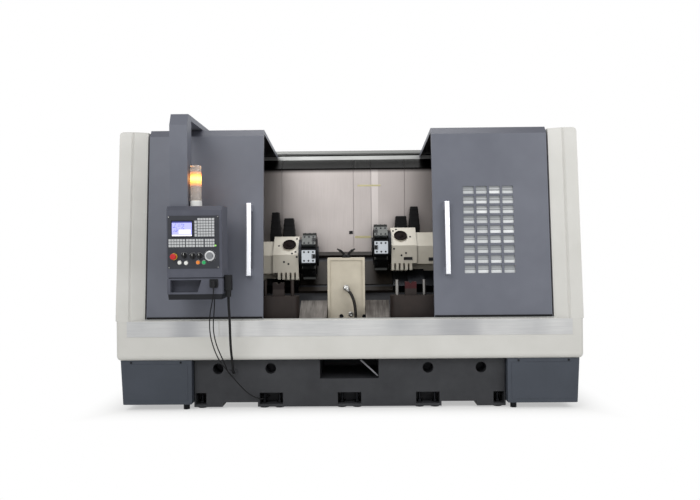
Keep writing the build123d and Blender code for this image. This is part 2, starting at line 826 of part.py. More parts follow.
for side, sign in sides:
    axis_point = bed_origin + off_slant * axis_height + up_slant * cross_place[side]
    flange_end = disc_inner[side] + disc_width + flange_width
    housing_start = flange_end + run_gap
    housing_end = housing_start + housing_length
    saddle_start = housing_start + saddle_inset
    saddle_mid = sign * (saddle_start + saddle_length / 2)

    with BuildPart() as saddle:
        saddle_section = [(-saddle_half_width, saddle_bottom)]
        for _, way in sides:
            way_u = way * way_half_spacing
            saddle_section += [
                (way_u - way_slot, saddle_bottom),
                (way_u - way_slot, way_roof),
                (way_u + way_slot, way_roof),
                (way_u + way_slot, saddle_bottom),
            ]
        saddle_section += [
            (saddle_half_width, saddle_bottom),
            (saddle_half_width, saddle_top),
            (-saddle_half_width, saddle_top),
        ]
        extrude(
            outline(bed_section_plane(sign * saddle_start), saddle_section),
            amount=sign * saddle_length,
        )
        extrude(
            panel(bed_plane.offset(saddle_top), (saddle_mid, 0), guide_width, 2 * saddle_half_width),
            amount=guide_height,
        )
    keep(saddle, f"{side}_saddle")

    with BuildPart() as turret_housing:
        slide_length = housing_length + rear_box_length
        slide_mid = sign * (housing_start + slide_length / 2)
        slide_plane = bed_plane.offset(saddle_top + run_gap)
        extrude(
            panel(slide_plane, (slide_mid, cross_place[side]), slide_length, 2 * slide_half_length),
            amount=slide_thick,
        )
        housing_points = [
            (axis_point.Y + y * housing_size, axis_point.Z + z * housing_size)
            for y, z in housing_section_shares
        ]
        extrude(
            outline(Plane.YZ.offset(sign * housing_start), housing_points),
            amount=sign * housing_length,
        )
        rear_points = [
            (axis_point.Y + y * housing_size, axis_point.Z + z * housing_size) for y, z in rear_box_shares
        ]
        extrude(
            outline(Plane.YZ.offset(sign * housing_end), rear_points), amount=sign * rear_box_length
        )
        tooth_front = axis_point.Y + housing_section_shares[0][0] * housing_size
        tooth_root = axis_point.Z + housing_section_shares[0][1] * housing_size
        for index in range(tooth_count):
            tooth_x = sign * (housing_start + tooth_width / 2 + index * tooth_pitch)
            extrude(
                panel(
                    Plane.XY.offset(tooth_root + tooth_lap),
                    (tooth_x, tooth_front + tooth_depth / 2),
                    tooth_width,
                    tooth_depth,
                ),
                amount=-(tooth_drop + tooth_lap),
            )
        slope_y = (housing_section_shares[1][0] + housing_section_shares[2][0]) / 2 * housing_size
        slope_z = (housing_section_shares[1][1] + housing_section_shares[2][1]) / 2 * housing_size
        cap_plane = Plane(
            origin=(
                sign * (housing_start + cap_place_share * housing_length),
                axis_point.Y + slope_y,
                axis_point.Z + slope_z,
            ),
            x_dir=(1, 0, 0),
            z_dir=(0, -1, 1),
        )
        extrude(discs(cap_plane, [(0, 0)], cap_radius), amount=cap_height)
        extrude(
            discs(cap_plane.offset(cap_height), [(0, 0)], cap_recess),
            amount=-cap_height / 2,
            mode=Mode.SUBTRACT,
        )
        extrude(
            panel(
                slide_plane,
                (saddle_mid, cross_place[side]),
                guide_width + 2 * run_gap,
                2 * slide_half_length + 2 * cut_over,
            ),
            amount=guide_height,
            mode=Mode.SUBTRACT,
        )
    keep(turret_housing, f"{side}_turret_housing")

    with BuildPart() as motor_covers:
        top_mid_share = (housing_section_shares[2][0] + housing_section_shares[3][0]) / 2
        motor_y = axis_point.Y + top_mid_share * housing_size
        motor_base = axis_point.Z + housing_section_shares[3][1] * housing_size
        rear_box_top = axis_point.Z + rear_box_shares[3][1] * housing_size
        tall_x = housing_end + motor_overhang - motor_tall_width / 2
        short_x = tall_x - motor_tall_width / 2 - motor_gap - motor_short_width / 2
        motor_rows = (
            (tall_x, motor_tall_width, motor_tall_height[side]),
            (short_x, motor_short_width, motor_short_height[side]),
        )
        for motor_x, motor_width, motor_height in motor_rows:
            with BuildPart() as motor:
                extrude(
                    panel(Plane.XY.offset(motor_base), (sign * motor_x, motor_y), motor_width, motor_depth),
                    amount=motor_height,
                    taper=motor_taper,
                )
                fillet(motor.edges().filter_by(Plane.XY, reverse=True), motor_round)
                fillet(motor.faces().sort_by(Axis.Z)[-1].edges(), motor_edge)
        bracket_x = housing_end + motor_overhang / 2
        extrude(
            panel(
                Plane.XY.offset(rear_box_top),
                (sign * bracket_x, motor_y),
                motor_overhang - 2 * run_gap,
                motor_depth - 2 * motor_gap,
            ),
            amount=motor_base - rear_box_top + run_gap,
        )
    keep(motor_covers, f"{side}_motor_covers")

    with BuildPart() as turret_disc:
        disc_plane = Plane(
            origin=(sign * disc_inner[side], axis_point.Y, axis_point.Z),
            x_dir=(0, 1, 0),
            z_dir=(1, 0, 0),
        )
        with BuildSketch(disc_plane) as disc_face:
            RegularPolygon(disc_apothem, disc_stations, major_radius=False, rotation=180 / disc_stations)
        extrude(disc_face.sketch, amount=sign * disc_width)
        chamfer(turret_disc.faces().sort_by(Axis.X)[0].edges(), disc_edge)
        chamfer(turret_disc.faces().sort_by(Axis.X)[-1].edges(), disc_edge)
        extrude(discs(disc_plane, [(0, 0)], hub_radius), amount=-sign * hub_proud)
        flange_plane = disc_plane.offset(sign * disc_width)
        extrude(discs(flange_plane, [(0, 0)], flange_radius), amount=sign * flange_width)
    keep(turret_disc, f"{side}_turret_disc")

    with BuildPart() as tool_blocks:
        block_mid = sign * (disc_inner[side] + disc_width / 2)
        for index in range(disc_stations):
            turn = 2 * math.pi * index / disc_stations
            radial = Vector(0, math.cos(turn), math.sin(turn))
            seat = Plane(
                origin=Vector(block_mid, axis_point.Y, axis_point.Z) + radial * disc_apothem,
                x_dir=(1, 0, 0),
                z_dir=radial,
            )
            block_length = disc_width - 2 * disc_edge
            extrude(panel(seat, (0, 0), block_length, block_width, block_edge), amount=block_height)
            extrude(
                panel(
                    seat.offset(block_height),
                    (-sign * (block_length - block_slot_depth) / 2, 0),
                    block_slot_depth,
                    block_slot_width,
                ),
                amount=-block_slot_depth,
                mode=Mode.SUBTRACT,
            )
    keep(tool_blocks, f"{side}_tool_blocks")

# Sliding doors: front and roof bent from one sheet, with turned edges and a tongue in the rear rail
door_rear_gap = 12.0
door_column_gap = 16.0
grille_slot_width = 90.0
grille_slot_height = 64.0
grille_pitch_x = 109.0
grille_pitch_z = 83.0
grille_slot_round = 5.0
grille_inner_share = 0.265
grille_outer_share = 0.303
grille_bottom_share = 0.234
grille_top_share = 0.291
handle_width = 42.0
handle_length = 606.0
handle_thick = 26.0
handle_standoff = 42.0
handle_foot = 62.0
handle_inset = 112.0
handle_middle_height = 1406.0
handle_round = 9.0

door_width = column_inner - door_column_gap - door_open_edge
door_face_height = door_bend_height - door_bottom
grille_field_width = (1 - grille_inner_share - grille_outer_share) * door_width
grille_field_height = (1 - grille_bottom_share - grille_top_share) * door_face_height
grille_columns = round((grille_field_width + grille_pitch_x - grille_slot_width) / grille_pitch_x)
grille_rows = round((grille_field_height + grille_pitch_z - grille_slot_height) / grille_pitch_z)
grille_middle = door_open_edge + grille_inner_share * door_width + grille_field_width / 2
grille_middle_height = door_bottom + grille_bottom_share * door_face_height + grille_field_height / 2
door_tongue_height = slot_bottom + run_gap + sheet
rake_cos = math.cos(math.radians(front_rake))
rake_plane = Plane(
    origin=(0, back(door_front_depth), sill_top),
    x_dir=(1, 0, 0),
    z_dir=(0, -rake_cos, math.sin(math.radians(front_rake))),
)


def up_rake(height):
    """Return the distance up the raked front of a height above the floor."""
    return (height - sill_top) / rake_cos


door_bend_y = raked(door_front_depth, door_bend_height)
door_line = (
    (raked(door_front_depth, door_bottom + sheet), door_bottom + sheet),
    (door_bend_y, door_bend_height),
    (door_bend_y + door_bend_run, door_top_height),
    (back(rail_front_depth - door_rear_gap), door_tongue_height),
)
tongue_line = door_line + ((back(rail_front_depth + door_tongue), door_tongue_height),)
door_foot_y = raked(door_front_depth, door_bottom)
door_foot = (
    (door_foot_y, door_bottom),
    (door_foot_y + door_pan, door_bottom),
    (door_foot_y + door_pan, door_bottom + sheet),
    (door_foot_y + sheet, door_bottom + 2 * sheet),
    (raked(door_front_depth, door_bottom + 2 * sheet), door_bottom + 2 * sheet),
)

for side, sign in sides:
    with BuildPart() as hood_door:
        inner_edge = Plane.YZ.offset(sign * door_open_edge)
        outer_edge = Plane.YZ.offset(sign * (door_open_edge + door_width))
        extrude(bent_sheet(inner_edge, tongue_line, sheet, Side.RIGHT), amount=sign * door_width)
        extrude(outline(inner_edge, door_foot), amount=sign * door_width)
        extrude(bent_sheet(inner_edge, door_line, door_pan, Side.RIGHT), amount=sign * sheet)
        extrude(bent_sheet(outer_edge, door_line, door_pan, Side.RIGHT), amount=-sign * sheet)
        if side == "right":
            with BuildSketch(rake_plane) as grille_slots:
                with Locations((grille_middle, up_rake(grille_middle_height))):
                    with GridLocations(grille_pitch_x, grille_pitch_z, grille_columns, grille_rows):
                        RectangleRounded(grille_slot_width, grille_slot_height, grille_slot_round)
            extrude(grille_slots.sketch, amount=-2 * sheet, mode=Mode.SUBTRACT)
    keep(hood_door, f"{side}_door")

    with BuildPart() as door_handle:
        handle_x = sign * (door_open_edge + handle_inset)
        handle_v = up_rake(handle_middle_height)
        foot_reach = (handle_length - handle_foot) / 2
        for _, end in sides:
            extrude(
                panel(rake_plane, (handle_x, handle_v + end * foot_reach), handle_width, handle_foot),
                amount=handle_standoff,
            )
        extrude(
            panel(rake_plane.offset(handle_standoff), (handle_x, handle_v), handle_width, handle_length),
            amount=handle_thick,
        )
        front_edges = door_handle.faces().sort_by(Axis.Y)[0].edges()
        fillet(front_edges, handle_round)
    keep(door_handle, f"{side}_door_handle")

# Grille backing: a thin frame with one slat across each row of slots
backing_margin = 24.0
backing_frame = 16.0
backing_thick = 6.0
backing_slat = 11.0
pane_thick = 4.0

backing_width = (grille_columns - 1) * grille_pitch_x + grille_slot_width + 2 * backing_margin
backing_height = (grille_rows - 1) * grille_pitch_z + grille_slot_height + 2 * backing_margin
grille_place = (grille_middle, up_rake(grille_middle_height))

with BuildPart() as grille_backing:
    with BuildSketch(rake_plane.offset(-sheet)):
        with Locations(grille_place):
            Rectangle(backing_width, backing_height)
            Rectangle(
                backing_width - 2 * backing_frame,
                backing_height - 2 * backing_frame,
                mode=Mode.SUBTRACT,
            )
            with GridLocations(0, grille_pitch_z, 1, grille_rows):
                Rectangle(backing_width - backing_frame, backing_slat)
    extrude(amount=-backing_thick)
keep(grille_backing, "grille_backing")

# Grille pane: a translucent sheet that closes the window behind the slats
with BuildPart() as grille_pane:
    extrude(
        panel(rake_plane.offset(-sheet - backing_thick), grille_place, backing_width, backing_height),
        amount=-pane_thick,
    )
keep(grille_pane, "grille_pane")

# Pendant cabinet: bevelled box in front of the left door
pendant_depth = 226.0
pendant_bevel = 34.0
pendant_round = 8.0
control_proud = 36.0
plate_left_inset = 12.0
plate_right_inset = 22.0
plate_foot_inset = 69.0
plate_head_inset = 76.0
plate_thick = 4.0
stem_radius = 8.0
stem_length = 22.0
bore_depth = 32.0

plate_y = controls_y + control_proud
cabinet_y = plate_y + plate_thick
plate_left = pendant_left + plate_left_inset
plate_right = pendant_right - plate_right_inset
plate_bottom = pendant_bottom + plate_foot_inset
plate_top = pendant_top - plate_head_inset
pendant_mid = (pendant_left + pendant_right) / 2
plate_front = Plane.XZ.offset(-plate_y)
cabinet_front_plane = Plane.XZ.offset(-cabinet_y)


def on_plate(share_x, share_z):
    """Return a place on the control face from shares of its width and height."""
    return (
        plate_left + share_x * (plate_right - plate_left),
        plate_bottom + share_z * (plate_top - plate_bottom),
    )


# Places on the control face, as shares of its width and height
stop_shares = (0.117, 0.227)
knob_shares = ((0.320, 0.247), (0.485, 0.232), (0.619, 0.240))
dial_shares = (0.822, 0.237)
button_shares = ((0.231, 0.114), (0.358, 0.106), (0.591, 0.114), (0.706, 0.114))
stop_place = on_plate(*stop_shares)
knob_places = tuple(on_plate(*shares) for shares in knob_shares)
dial_place = on_plate(*dial_shares)
button_places = tuple(on_plate(*shares) for shares in button_shares)
control_places = (stop_place,) + knob_places + (dial_place,) + button_places

with BuildPart() as pendant_cabinet:
    cabinet_section = (
        (cabinet_y, pendant_bottom),
        (cabinet_y, pendant_top - pendant_bevel),
        (cabinet_y + pendant_bevel, pendant_top),
        (cabinet_y + pendant_depth, pendant_top),
        (cabinet_y + pendant_depth, pendant_bottom),
    )
    extrude(outline(Plane.YZ.offset(pendant_left), cabinet_section), amount=pendant_width)
    fillet(pendant_cabinet.edges().filter_by(Axis.Z), pendant_round)
    extrude(
        discs(cabinet_front_plane, control_places, stem_radius + run_gap),
        amount=-(bore_depth - plate_thick),
        mode=Mode.SUBTRACT,
    )
keep(pendant_cabinet, "pendant_cabinet")

with BuildPart() as control_face:
    extrude(
        panel(
            cabinet_front_plane,
            ((plate_left + plate_right) / 2, (plate_bottom + plate_top) / 2),
            plate_right - plate_left,
            plate_top - plate_bottom,
            pendant_round,
        ),
        amount=plate_thick,
    )
    extrude(
        discs(plate_front, control_places, stem_radius + run_gap),
        amount=-plate_thick,
        mode=Mode.SUBTRACT,
    )
keep(control_face, "control_face")

# Screen: a bezel block with a sunk glass field
screen_inset = 26.0
screen_drop = 35.0
screen_width = 168.0
screen_height = 128.0
screen_thick = 6.0
screen_border = 7.0
screen_sink = 2.5
screen_round = 4.0

with BuildPart() as screen:
    screen_mid = (
        plate_left + screen_inset + screen_width / 2,
        plate_top - screen_drop - screen_height / 2,
    )
    extrude(panel(plate_front, screen_mid, screen_width, screen_height, screen_round), amount=screen_thick)
    extrude(
        panel(
            plate_front.offset(screen_thick),
            screen_mid,
            screen_width - 2 * screen_border,
            screen_height - 2 * screen_border,
        ),
        amount=-screen_sink,
        mode=Mode.SUBTRACT,
    )
keep(screen, "screen")

# Keys: soft keys beside the screen, the letter keypad and four blocks of machine keys below
key_thick = 5.0
key_gap = 4.0
key_round = 2.0
key_block_shares = (
    ((0.528, 0.569), (0.605, 0.906), 1, 5),
    ((0.586, 0.911), (0.605, 0.953), 6, 7),
    ((0.018, 0.338), (0.407, 0.558), 6, 3),
    ((0.358, 0.533), (0.407, 0.558), 3, 3),
    ((0.551, 0.698), (0.407, 0.558), 3, 3),
    ((0.726, 0.911), (0.407, 0.558), 4, 3),
)

with BuildPart() as keys:
    for across_shares, up_shares, columns, rows in key_block_shares:
        low_x, low_z = on_plate(across_shares[0], up_shares[0])
        high_x, high_z = on_plate(across_shares[1], up_shares[1])
        pitch_x = (high_x - low_x + key_gap) / columns
        pitch_z = (high_z - low_z + key_gap) / rows
        with BuildSketch(plate_front) as key_field:
            with Locations(((low_x + high_x) / 2, (low_z + high_z) / 2)):
                with GridLocations(pitch_x, pitch_z, columns, rows):
                    Rectangle(pitch_x - key_gap, pitch_z - key_gap)
        extrude(key_field.sketch, amount=key_thick)
keep(keys, "keys")

# Emergency stop: domed mushroom head on a neck, with its stem in the face's bore
stop_travel = 6.0
stop_neck_radius = 15.0
stop_head_radius = 23.0
stop_head_height = 17.0
stop_dome = 6.0

with BuildPart() as emergency_stop:
    extrude(discs(plate_front, [stop_place], stem_radius), amount=-stem_length)
    neck_length = control_proud - stop_head_height - stop_travel - run_gap
    extrude(discs(plate_front, [stop_place], stem_radius), amount=stop_travel + run_gap)
    neck_plane = plate_front.offset(stop_travel + run_gap)
    extrude(discs(neck_plane, [stop_place], stop_neck_radius), amount=neck_length)
    head_plane = plate_front.offset(control_proud - stop_head_height)
    extrude(discs(head_plane, [stop_place], stop_head_radius), amount=stop_head_height)
    fillet(emergency_stop.faces().sort_by(Axis.Y)[0].edges(), stop_dome)
keep(emergency_stop, "emergency_stop")

# Rotary switches: round base with a grip bar
knob_radius = 21.0
knob_base_height = 9.0
knob_grip_width = 13.0
knob_grip_height = 17.0
knob_round = 3.0

for index, place in enumerate(knob_places):
    with BuildPart() as rotary_switch:
        extrude(discs(plate_front, [place], stem_radius), amount=-stem_length)
        extrude(discs(plate_front, [place], stem_radius), amount=run_gap)
        knob_plane = plate_front.offset(run_gap)
        extrude(discs(knob_plane, [place], knob_radius), amount=knob_base_height)
        grip_plane = knob_plane.offset(knob_base_height)
        extrude(
            panel(grip_plane, place, knob_grip_width, 2 * knob_radius - knob_round, knob_round),
            amount=knob_grip_height,
        )
    keep(rotary_switch, f"rotary_switch_{index + 1}")

# Handwheel dial: flat wheel with a raised hub and a small crank knob
dial_radius = 39.0
dial_height = 14.0
dial_hub_radius = 27.0
dial_hub_height = 5.0
dial_edge = 3.0
crank_radius = 6.0
crank_height = 15.0
crank_place_share = 0.68

with BuildPart() as handwheel_dial:
    extrude(discs(plate_front, [dial_place], stem_radius), amount=-stem_length)
    extrude(discs(plate_front, [dial_place], stem_radius), amount=run_gap)
    dial_plane = plate_front.offset(run_gap)
    extrude(discs(dial_plane, [dial_place], dial_radius), amount=dial_height)
    fillet(handwheel_dial.faces().sort_by(Axis.Y)[0].edges(), dial_edge)
    extrude(discs(dial_plane.offset(dial_height), [dial_place], dial_hub_radius), amount=dial_hub_height)
    crank_x = dial_place[0] + crank_place_share * dial_hub_radius
    crank_plane = dial_plane.offset(dial_height + dial_hub_height)
    extrude(discs(crank_plane, [(crank_x, dial_place[1])], crank_radius), amount=crank_height)
keep(handwheel_dial, "handwheel_dial")

# Push buttons: flat caps held clear of the face by their travel
button_names = ("white_button_1", "white_button_2", "orange_button", "green_button")
button_travel = 4.0
button_radius = 14.0
button_height = 11.0
button_edge = 2.0

for name, place in zip(button_names, button_places):
    with BuildPart() as push_button:
        extrude(discs(plate_front, [place], stem_radius), amount=-stem_length)
        extrude(discs(plate_front, [place], stem_radius), amount=button_travel + run_gap)
        cap_front = plate_front.offset(button_travel + run_gap)
        extrude(discs(cap_front, [place], button_radius), amount=button_height)
        fillet(push_button.faces().sort_by(Axis.Y)[0].edges(), button_edge)
    keep(push_button, name)

# Lower housing: under a narrow neck, with a hand recess whose right end slopes
lower_neck = 8.0
lower_neck_inset = 12.0
lower_height = 121.0
recess_inset = 27.0
recess_width = 240.0
recess_foot_inset = 15.0
recess_head_inset = 12.0
recess_slope = 30.0
recess_depth = 84.0

lower_top = pendant_bottom - lower_neck
lower_bottom = lower_top - lower_height
recess_left = pendant_left + recess_inset
recess_right = recess_left + recess_width
recess_bottom = lower_bottom + recess_foot_inset
recess_top = lower_top - recess_head_inset
pendant_y_mid = cabinet_y + pendant_depth / 2

with BuildPart() as lower_housing:
    extrude(
        panel(
            Plane.XY.offset(lower_bottom),
            (pendant_mid, pendant_y_mid),
            pendant_width,
            pendant_depth,
            pendant_round,
        ),
        amount=lower_top - lower_bottom,
    )
    extrude(
        panel(
            Plane.XY.offset(lower_top),
            (pendant_mid, pendant_y_mid),
            pendant_width - 2 * lower_neck_inset,
            pendant_depth - 2 * lower_neck_inset,
        ),
        amount=lower_neck,
    )
    recess_points = (
        (recess_left, recess_bottom),
        (recess_right - recess_slope, recess_bottom),
        (recess_right, recess_top),
        (recess_left, recess_top),
    )
    extrude(outline(cabinet_front_plane, recess_points), amount=-recess_depth, mode=Mode.SUBTRACT)
keep(lower_housing, "lower_housing")

# Tray: black foot of the pendant, tapered a little towards its underside
tray_height = 42.0
tray_inset = 5.0
tray_taper = 8.0
tray_bottom = lower_bottom - tray_height

with BuildPart() as pendant_tray:
    extrude(
        panel(
            Plane.XY.offset(lower_bottom),
            (pendant_mid, pendant_y_mid),
            pendant_width - 2 * tray_inset,
            pendant_depth - 2 * tray_inset,
            pendant_round,
        ),
        amount=-tray_height,
        taper=tray_taper,
    )
keep(pendant_tray, "pendant_tray")

# Plug: socket flange on the lower housing and an elbow plug that points down
plug_inset = 65.0
plug_head_inset = 39.0
plug_flange = 66.0
plug_flange_thick = 6.0
plug_stub_radius = 20.0
plug_elbow_radius = 15.0
plug_axis_reach = 22.0
plug_top_reach = 20.0
plug_drop = 35.0
plug_tip_radius = 9.0
plug_tip = 12.0
plug_place = (pendant_right - plug_inset, lower_top - plug_head_inset)

with BuildPart() as cord_plug:
    extrude(
        panel(cabinet_front_plane, plug_place, plug_flange, plug_flange, pendant_round),
        amount=plug_flange_thick,
    )
    extrude(
        discs(cabinet_front_plane.offset(plug_flange_thick), [plug_place], plug_stub_radius),
        amount=plug_axis_reach - plug_flange_thick,
    )
    plug_axis = (plug_place[0], cabinet_y - plug_axis_reach)
    elbow_bottom = plug_place[1] - plug_drop + plug_tip
    extrude(
        discs(Plane.XY.offset(elbow_bottom), [plug_axis], plug_elbow_radius),
        amount=plug_drop - plug_tip + plug_top_reach,
    )
    extrude(discs(Plane.XY.offset(elbow_bottom), [plug_axis], plug_tip_radius), amount=-plug_tip)
keep(cord_plug, "cord_plug")

# Hand unit: black grip that hangs on the pendant's right side
unit_width = 56.0
unit_depth = 70.0
unit_setback = 60.0
unit_height = 170.0
unit_rise = 21.0
unit_round = 10.0
unit_waist = 9.0
unit_waist_height_share = 0.30
unit_top = lower_top + unit_rise
unit_bottom = unit_top - unit_height

with BuildPart() as hand_unit:
    unit_mid = (pendant_right + unit_width / 2, cabinet_y + unit_setback + unit_depth / 2)
    unit_break = unit_bottom + unit_waist_height_share * (unit_top - unit_bottom)
    extrude(
        panel(Plane.XY.offset(unit_break), unit_mid, unit_width, unit_depth, unit_round),
        amount=unit_top - unit_break,
    )
    extrude(
        panel(
            Plane.XY.offset(unit_break),
            unit_mid,
            unit_width - 2 * unit_waist,
            unit_depth - 2 * unit_waist,
            unit_round,
        ),
        amount=unit_bottom - unit_break,
    )
keep(hand_unit, "hand_unit")

# Arm: chamfered box section that stands on the pendant and runs back over the hoods to the rear rail
arm_inset = 14.0
arm_width = 139.0
arm_setback = 58.0
arm_depth = 132.0
arm_chamfer = 92.0
arm_roof_gap = 8.0
arm_left = pendant_left + arm_inset

with BuildPart() as pendant_arm:
    arm_front = cabinet_y + arm_setback
    arm_back = arm_front + arm_depth
    arm_under = door_top_height + arm_roof_gap
    arm_section = (
        (arm_front, pendant_top),
        (arm_front, overall_height - arm_chamfer),
        (arm_front + arm_chamfer / 2, overall_height),
        (back(rail_back_depth), overall_height),
        (back(rail_back_depth), rail_top),
        (back(rail_front_depth), rail_top),
        (door_bend_y + door_bend_run, arm_under),
        (arm_back, arm_under),
        (arm_back, pendant_top),
    )
    extrude(outline(Plane.YZ.offset(arm_left), arm_section), amount=arm_width)
keep(pendant_arm, "pendant_arm")

# Signal lamp: base on the pendant's top, clear tube with a cap
lamp_inset = 202.0
lamp_base_radius = 46.0
lamp_base_height = 46.0
lamp_radius = 43.0
lamp_height = 248.0
lamp_cap_radius = 45.0
lamp_cap_height = 28.0
lamp_edge = 7.0

lamp_place = (pendant_left + lamp_inset, cabinet_y + arm_setback + arm_depth / 2)
lens_bottom = pendant_top + lamp_base_height

with BuildPart() as lamp_base:
    extrude(discs(Plane.XY.offset(pendant_top), [lamp_place], lamp_base_radius), amount=lamp_base_height)
    fillet(lamp_base.faces().sort_by(Axis.Z)[-1].edges(), lamp_edge / 2)
keep(lamp_base, "lamp_base")

with BuildPart() as lamp_lens:
    extrude(discs(Plane.XY.offset(lens_bottom), [lamp_place], lamp_radius), amount=lamp_height)
    extrude(
        discs(Plane.XY.offset(lens_bottom + lamp_height), [lamp_place], lamp_cap_radius),
        amount=lamp_cap_height,
    )
    fillet(lamp_lens.faces().sort_by(Axis.Z)[-1].edges(), lamp_edge)
keep(lamp_lens, "lamp_lens")

# Chip rod: a round bar that leans across the chip opening
rod_radius = 9.0
rod_depth = 132.0
rod_top_x = 96.0
rod_top_height = 396.0
rod_foot_height = 262.0

with BuildPart() as chip_rod:
    rod_rise = rod_top_height - rod_foot_height
    rod_guess = Vector(rod_top_x - chip_half_width, 0, rod_rise)
    rod_foot_x = chip_half_width - run_gap - rod_radius * rod_rise / rod_guess.length
    rod_foot = Vector(rod_foot_x, back(rod_depth), rod_foot_height)
    rod_top = Vector(rod_top_x, back(rod_depth), rod_top_height)
    with BuildSketch(Plane(origin=rod_foot, z_dir=rod_top - rod_foot)):
        Circle(rod_radius)
    extrude(amount=(rod_top - rod_foot).length)
keep(chip_rod, "chip_rod")

# Cords: X, depth behind the apron's front and height of each point, from the pendant to the base
thin_cord_diameter = 9.0
thick_cord_diameter = 20.0
bend_run_share = 0.45
plug_cord_route = (
    (plug_place[0], -372.0, plug_place[1] - plug_drop),
    (-1027.0, -372.0, 990.0),
    (-1038.0, -371.0, 925.0),
    (-1055.0, -366.0, 850.0),
    (-1066.0, -345.0, 762.0),
    (-1070.0, -305.0, 674.0),
    (-1066.0, -250.0, 594.0),
    (-1058.0, -188.0, 522.0),
    (-1046.0, -128.0, 458.0),
    (-1022.0, -82.0, 398.0),
    (-984.0, -46.0, 336.0),
    (-940.0, -12.0, 270.0),
    (-893.0, 18.0, 204.0),
    (-846.0, 42.0, 148.0),
    (-796.0, 60.0, 108.0),
    (-748.0, 78.0, 87.0),
    (-710.0, 110.0, 78.0),
    (-692.0, 152.0, 76.0),
    (-688.0, 202.0, 77.0),
    (-688.0, bed_front_depth + pocket_depth, 77.0),
)
tray_cord_route = (
    (-1035.0, -300.0, tray_bottom),
    (-1035.0, -300.0, 900.0),
    (-1040.0, -298.0, 838.0),
    (-1048.0, -290.0, 766.0),
    (-1052.0, -268.0, 694.0),
    (-1049.0, -230.0, 624.0),
    (-1041.0, -182.0, 556.0),
    (-1029.0, -126.0, 490.0),
    (-1013.0, -72.0, 424.0),
    (-1001.0, -26.0, 362.0),
    (-995.0, 12.0, 318.0),
    (gland_places[0][0], 44.0, gland_places[0][1]),
    (gland_places[0][0], bed_front_depth - gland_length, gland_places[0][1]),
)
unit_cord_route = (
    (-934.0, -255.0, unit_bottom),
    (-934.0, -255.0, 890.0),
    (-928.0, -252.0, 798.0),
    (-929.0, -234.0, 700.0),
    (-934.0, -196.0, 606.0),
    (-939.0, -144.0, 516.0),
    (-942.0, -86.0, 434.0),
    (-946.0, -30.0, 358.0),
    (gland_places[1][0], 28.0, gland_places[1][1]),
    (gland_places[1][0], bed_front_depth - gland_length, gland_places[1][1]),
)


def cord_radii(points):
    """Return the largest bend radius at each inner point, from the shorter run beside it."""
    radii = []
    for before, here, after in zip(points, points[1:], points[2:]):
        turn = (here - before).get_angle(after - here)
        shorter = min((here - before).length, (after - here).length)
        radii.append(bend_run_share * shorter / math.tan(math.radians(turn / 2)))
    return radii


cord_rows = (
    ("plug_cord", plug_cord_route, thin_cord_diameter),
    ("tray_cord", tray_cord_route, thin_cord_diameter),
    ("hand_unit_cord", unit_cord_route, thick_cord_diameter),
)
for name, route, diameter in cord_rows:
    cord_points = [Vector(x, back(depth), z) for x, depth, z in route]
    bend_radii = cord_radii(cord_points)
    with BuildPart() as cord:
        with BuildLine() as cord_line:
            FilletPolyline(*cord_points, radius=bend_radii)
        with BuildSketch(Plane(origin=cord_points[0], z_dir=cord_points[1] - cord_points[0])):
            Circle(diameter / 2)
        sweep(path=cord_line.wires()[0])
    keep(cord, name)
    cord_length = cord_line.wires()[0].length
    section_volume = math.pi * (diameter / 2) ** 2 * cord_length
    print(name, "length", round(cord_length), "volume share", round(cord.part.volume / section_volume, 3))
    print(name, "radii in diameters", [round(radius / diameter, 1) for radius in bend_radii])
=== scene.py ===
"""Looks of a twin turret lathe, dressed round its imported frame. All lengths are in metres."""

import logging
import math
from dataclasses import dataclass
from enum import Enum
from typing import Callable, Optional, Sequence

import bmesh
import bpy
from mathutils import Matrix, Vector

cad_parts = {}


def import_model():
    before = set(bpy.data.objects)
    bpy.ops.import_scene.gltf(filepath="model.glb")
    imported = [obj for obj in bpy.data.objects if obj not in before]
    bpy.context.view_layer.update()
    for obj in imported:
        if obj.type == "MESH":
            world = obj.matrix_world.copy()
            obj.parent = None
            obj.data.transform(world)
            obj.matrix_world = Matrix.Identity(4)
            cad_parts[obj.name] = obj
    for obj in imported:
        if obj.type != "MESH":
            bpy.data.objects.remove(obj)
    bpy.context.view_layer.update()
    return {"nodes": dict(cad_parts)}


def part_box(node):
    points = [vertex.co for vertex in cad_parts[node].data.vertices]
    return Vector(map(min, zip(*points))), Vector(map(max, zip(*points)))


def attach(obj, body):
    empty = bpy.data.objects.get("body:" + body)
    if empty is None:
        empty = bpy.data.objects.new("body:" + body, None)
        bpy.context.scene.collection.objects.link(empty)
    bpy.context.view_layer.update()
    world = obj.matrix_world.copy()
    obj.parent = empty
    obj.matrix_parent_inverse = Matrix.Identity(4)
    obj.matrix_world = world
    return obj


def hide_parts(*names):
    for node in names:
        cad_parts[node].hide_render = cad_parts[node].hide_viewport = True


log = logging.getLogger("lathe")

Tree = bpy.types.NodeTree
Node = bpy.types.Node
Socket = bpy.types.NodeSocket
Piece = bpy.types.Object
Point = tuple[float, float, float]
Pair = tuple[float, float]
FaceTest = Callable[[Vector, Vector], bool]
MM = 0.001
FAR = 100.0


def linear(code: str) -> tuple[float, float, float, float]:
    """Return an sRGB hex colour as linear red, green, blue and alpha.

    Args:
        code: the colour, such as "#c6c5c0".

    Returns:
        The colour as Blender's sockets take it.
    """
    parts = [int(code[at : at + 2], 16) / 255 for at in (1, 3, 5)]
    light = [c / 12.92 if c <= 0.04045 else ((c + 0.055) / 1.055) ** 2.4 for c in parts]
    return (light[0], light[1], light[2], 1.0)


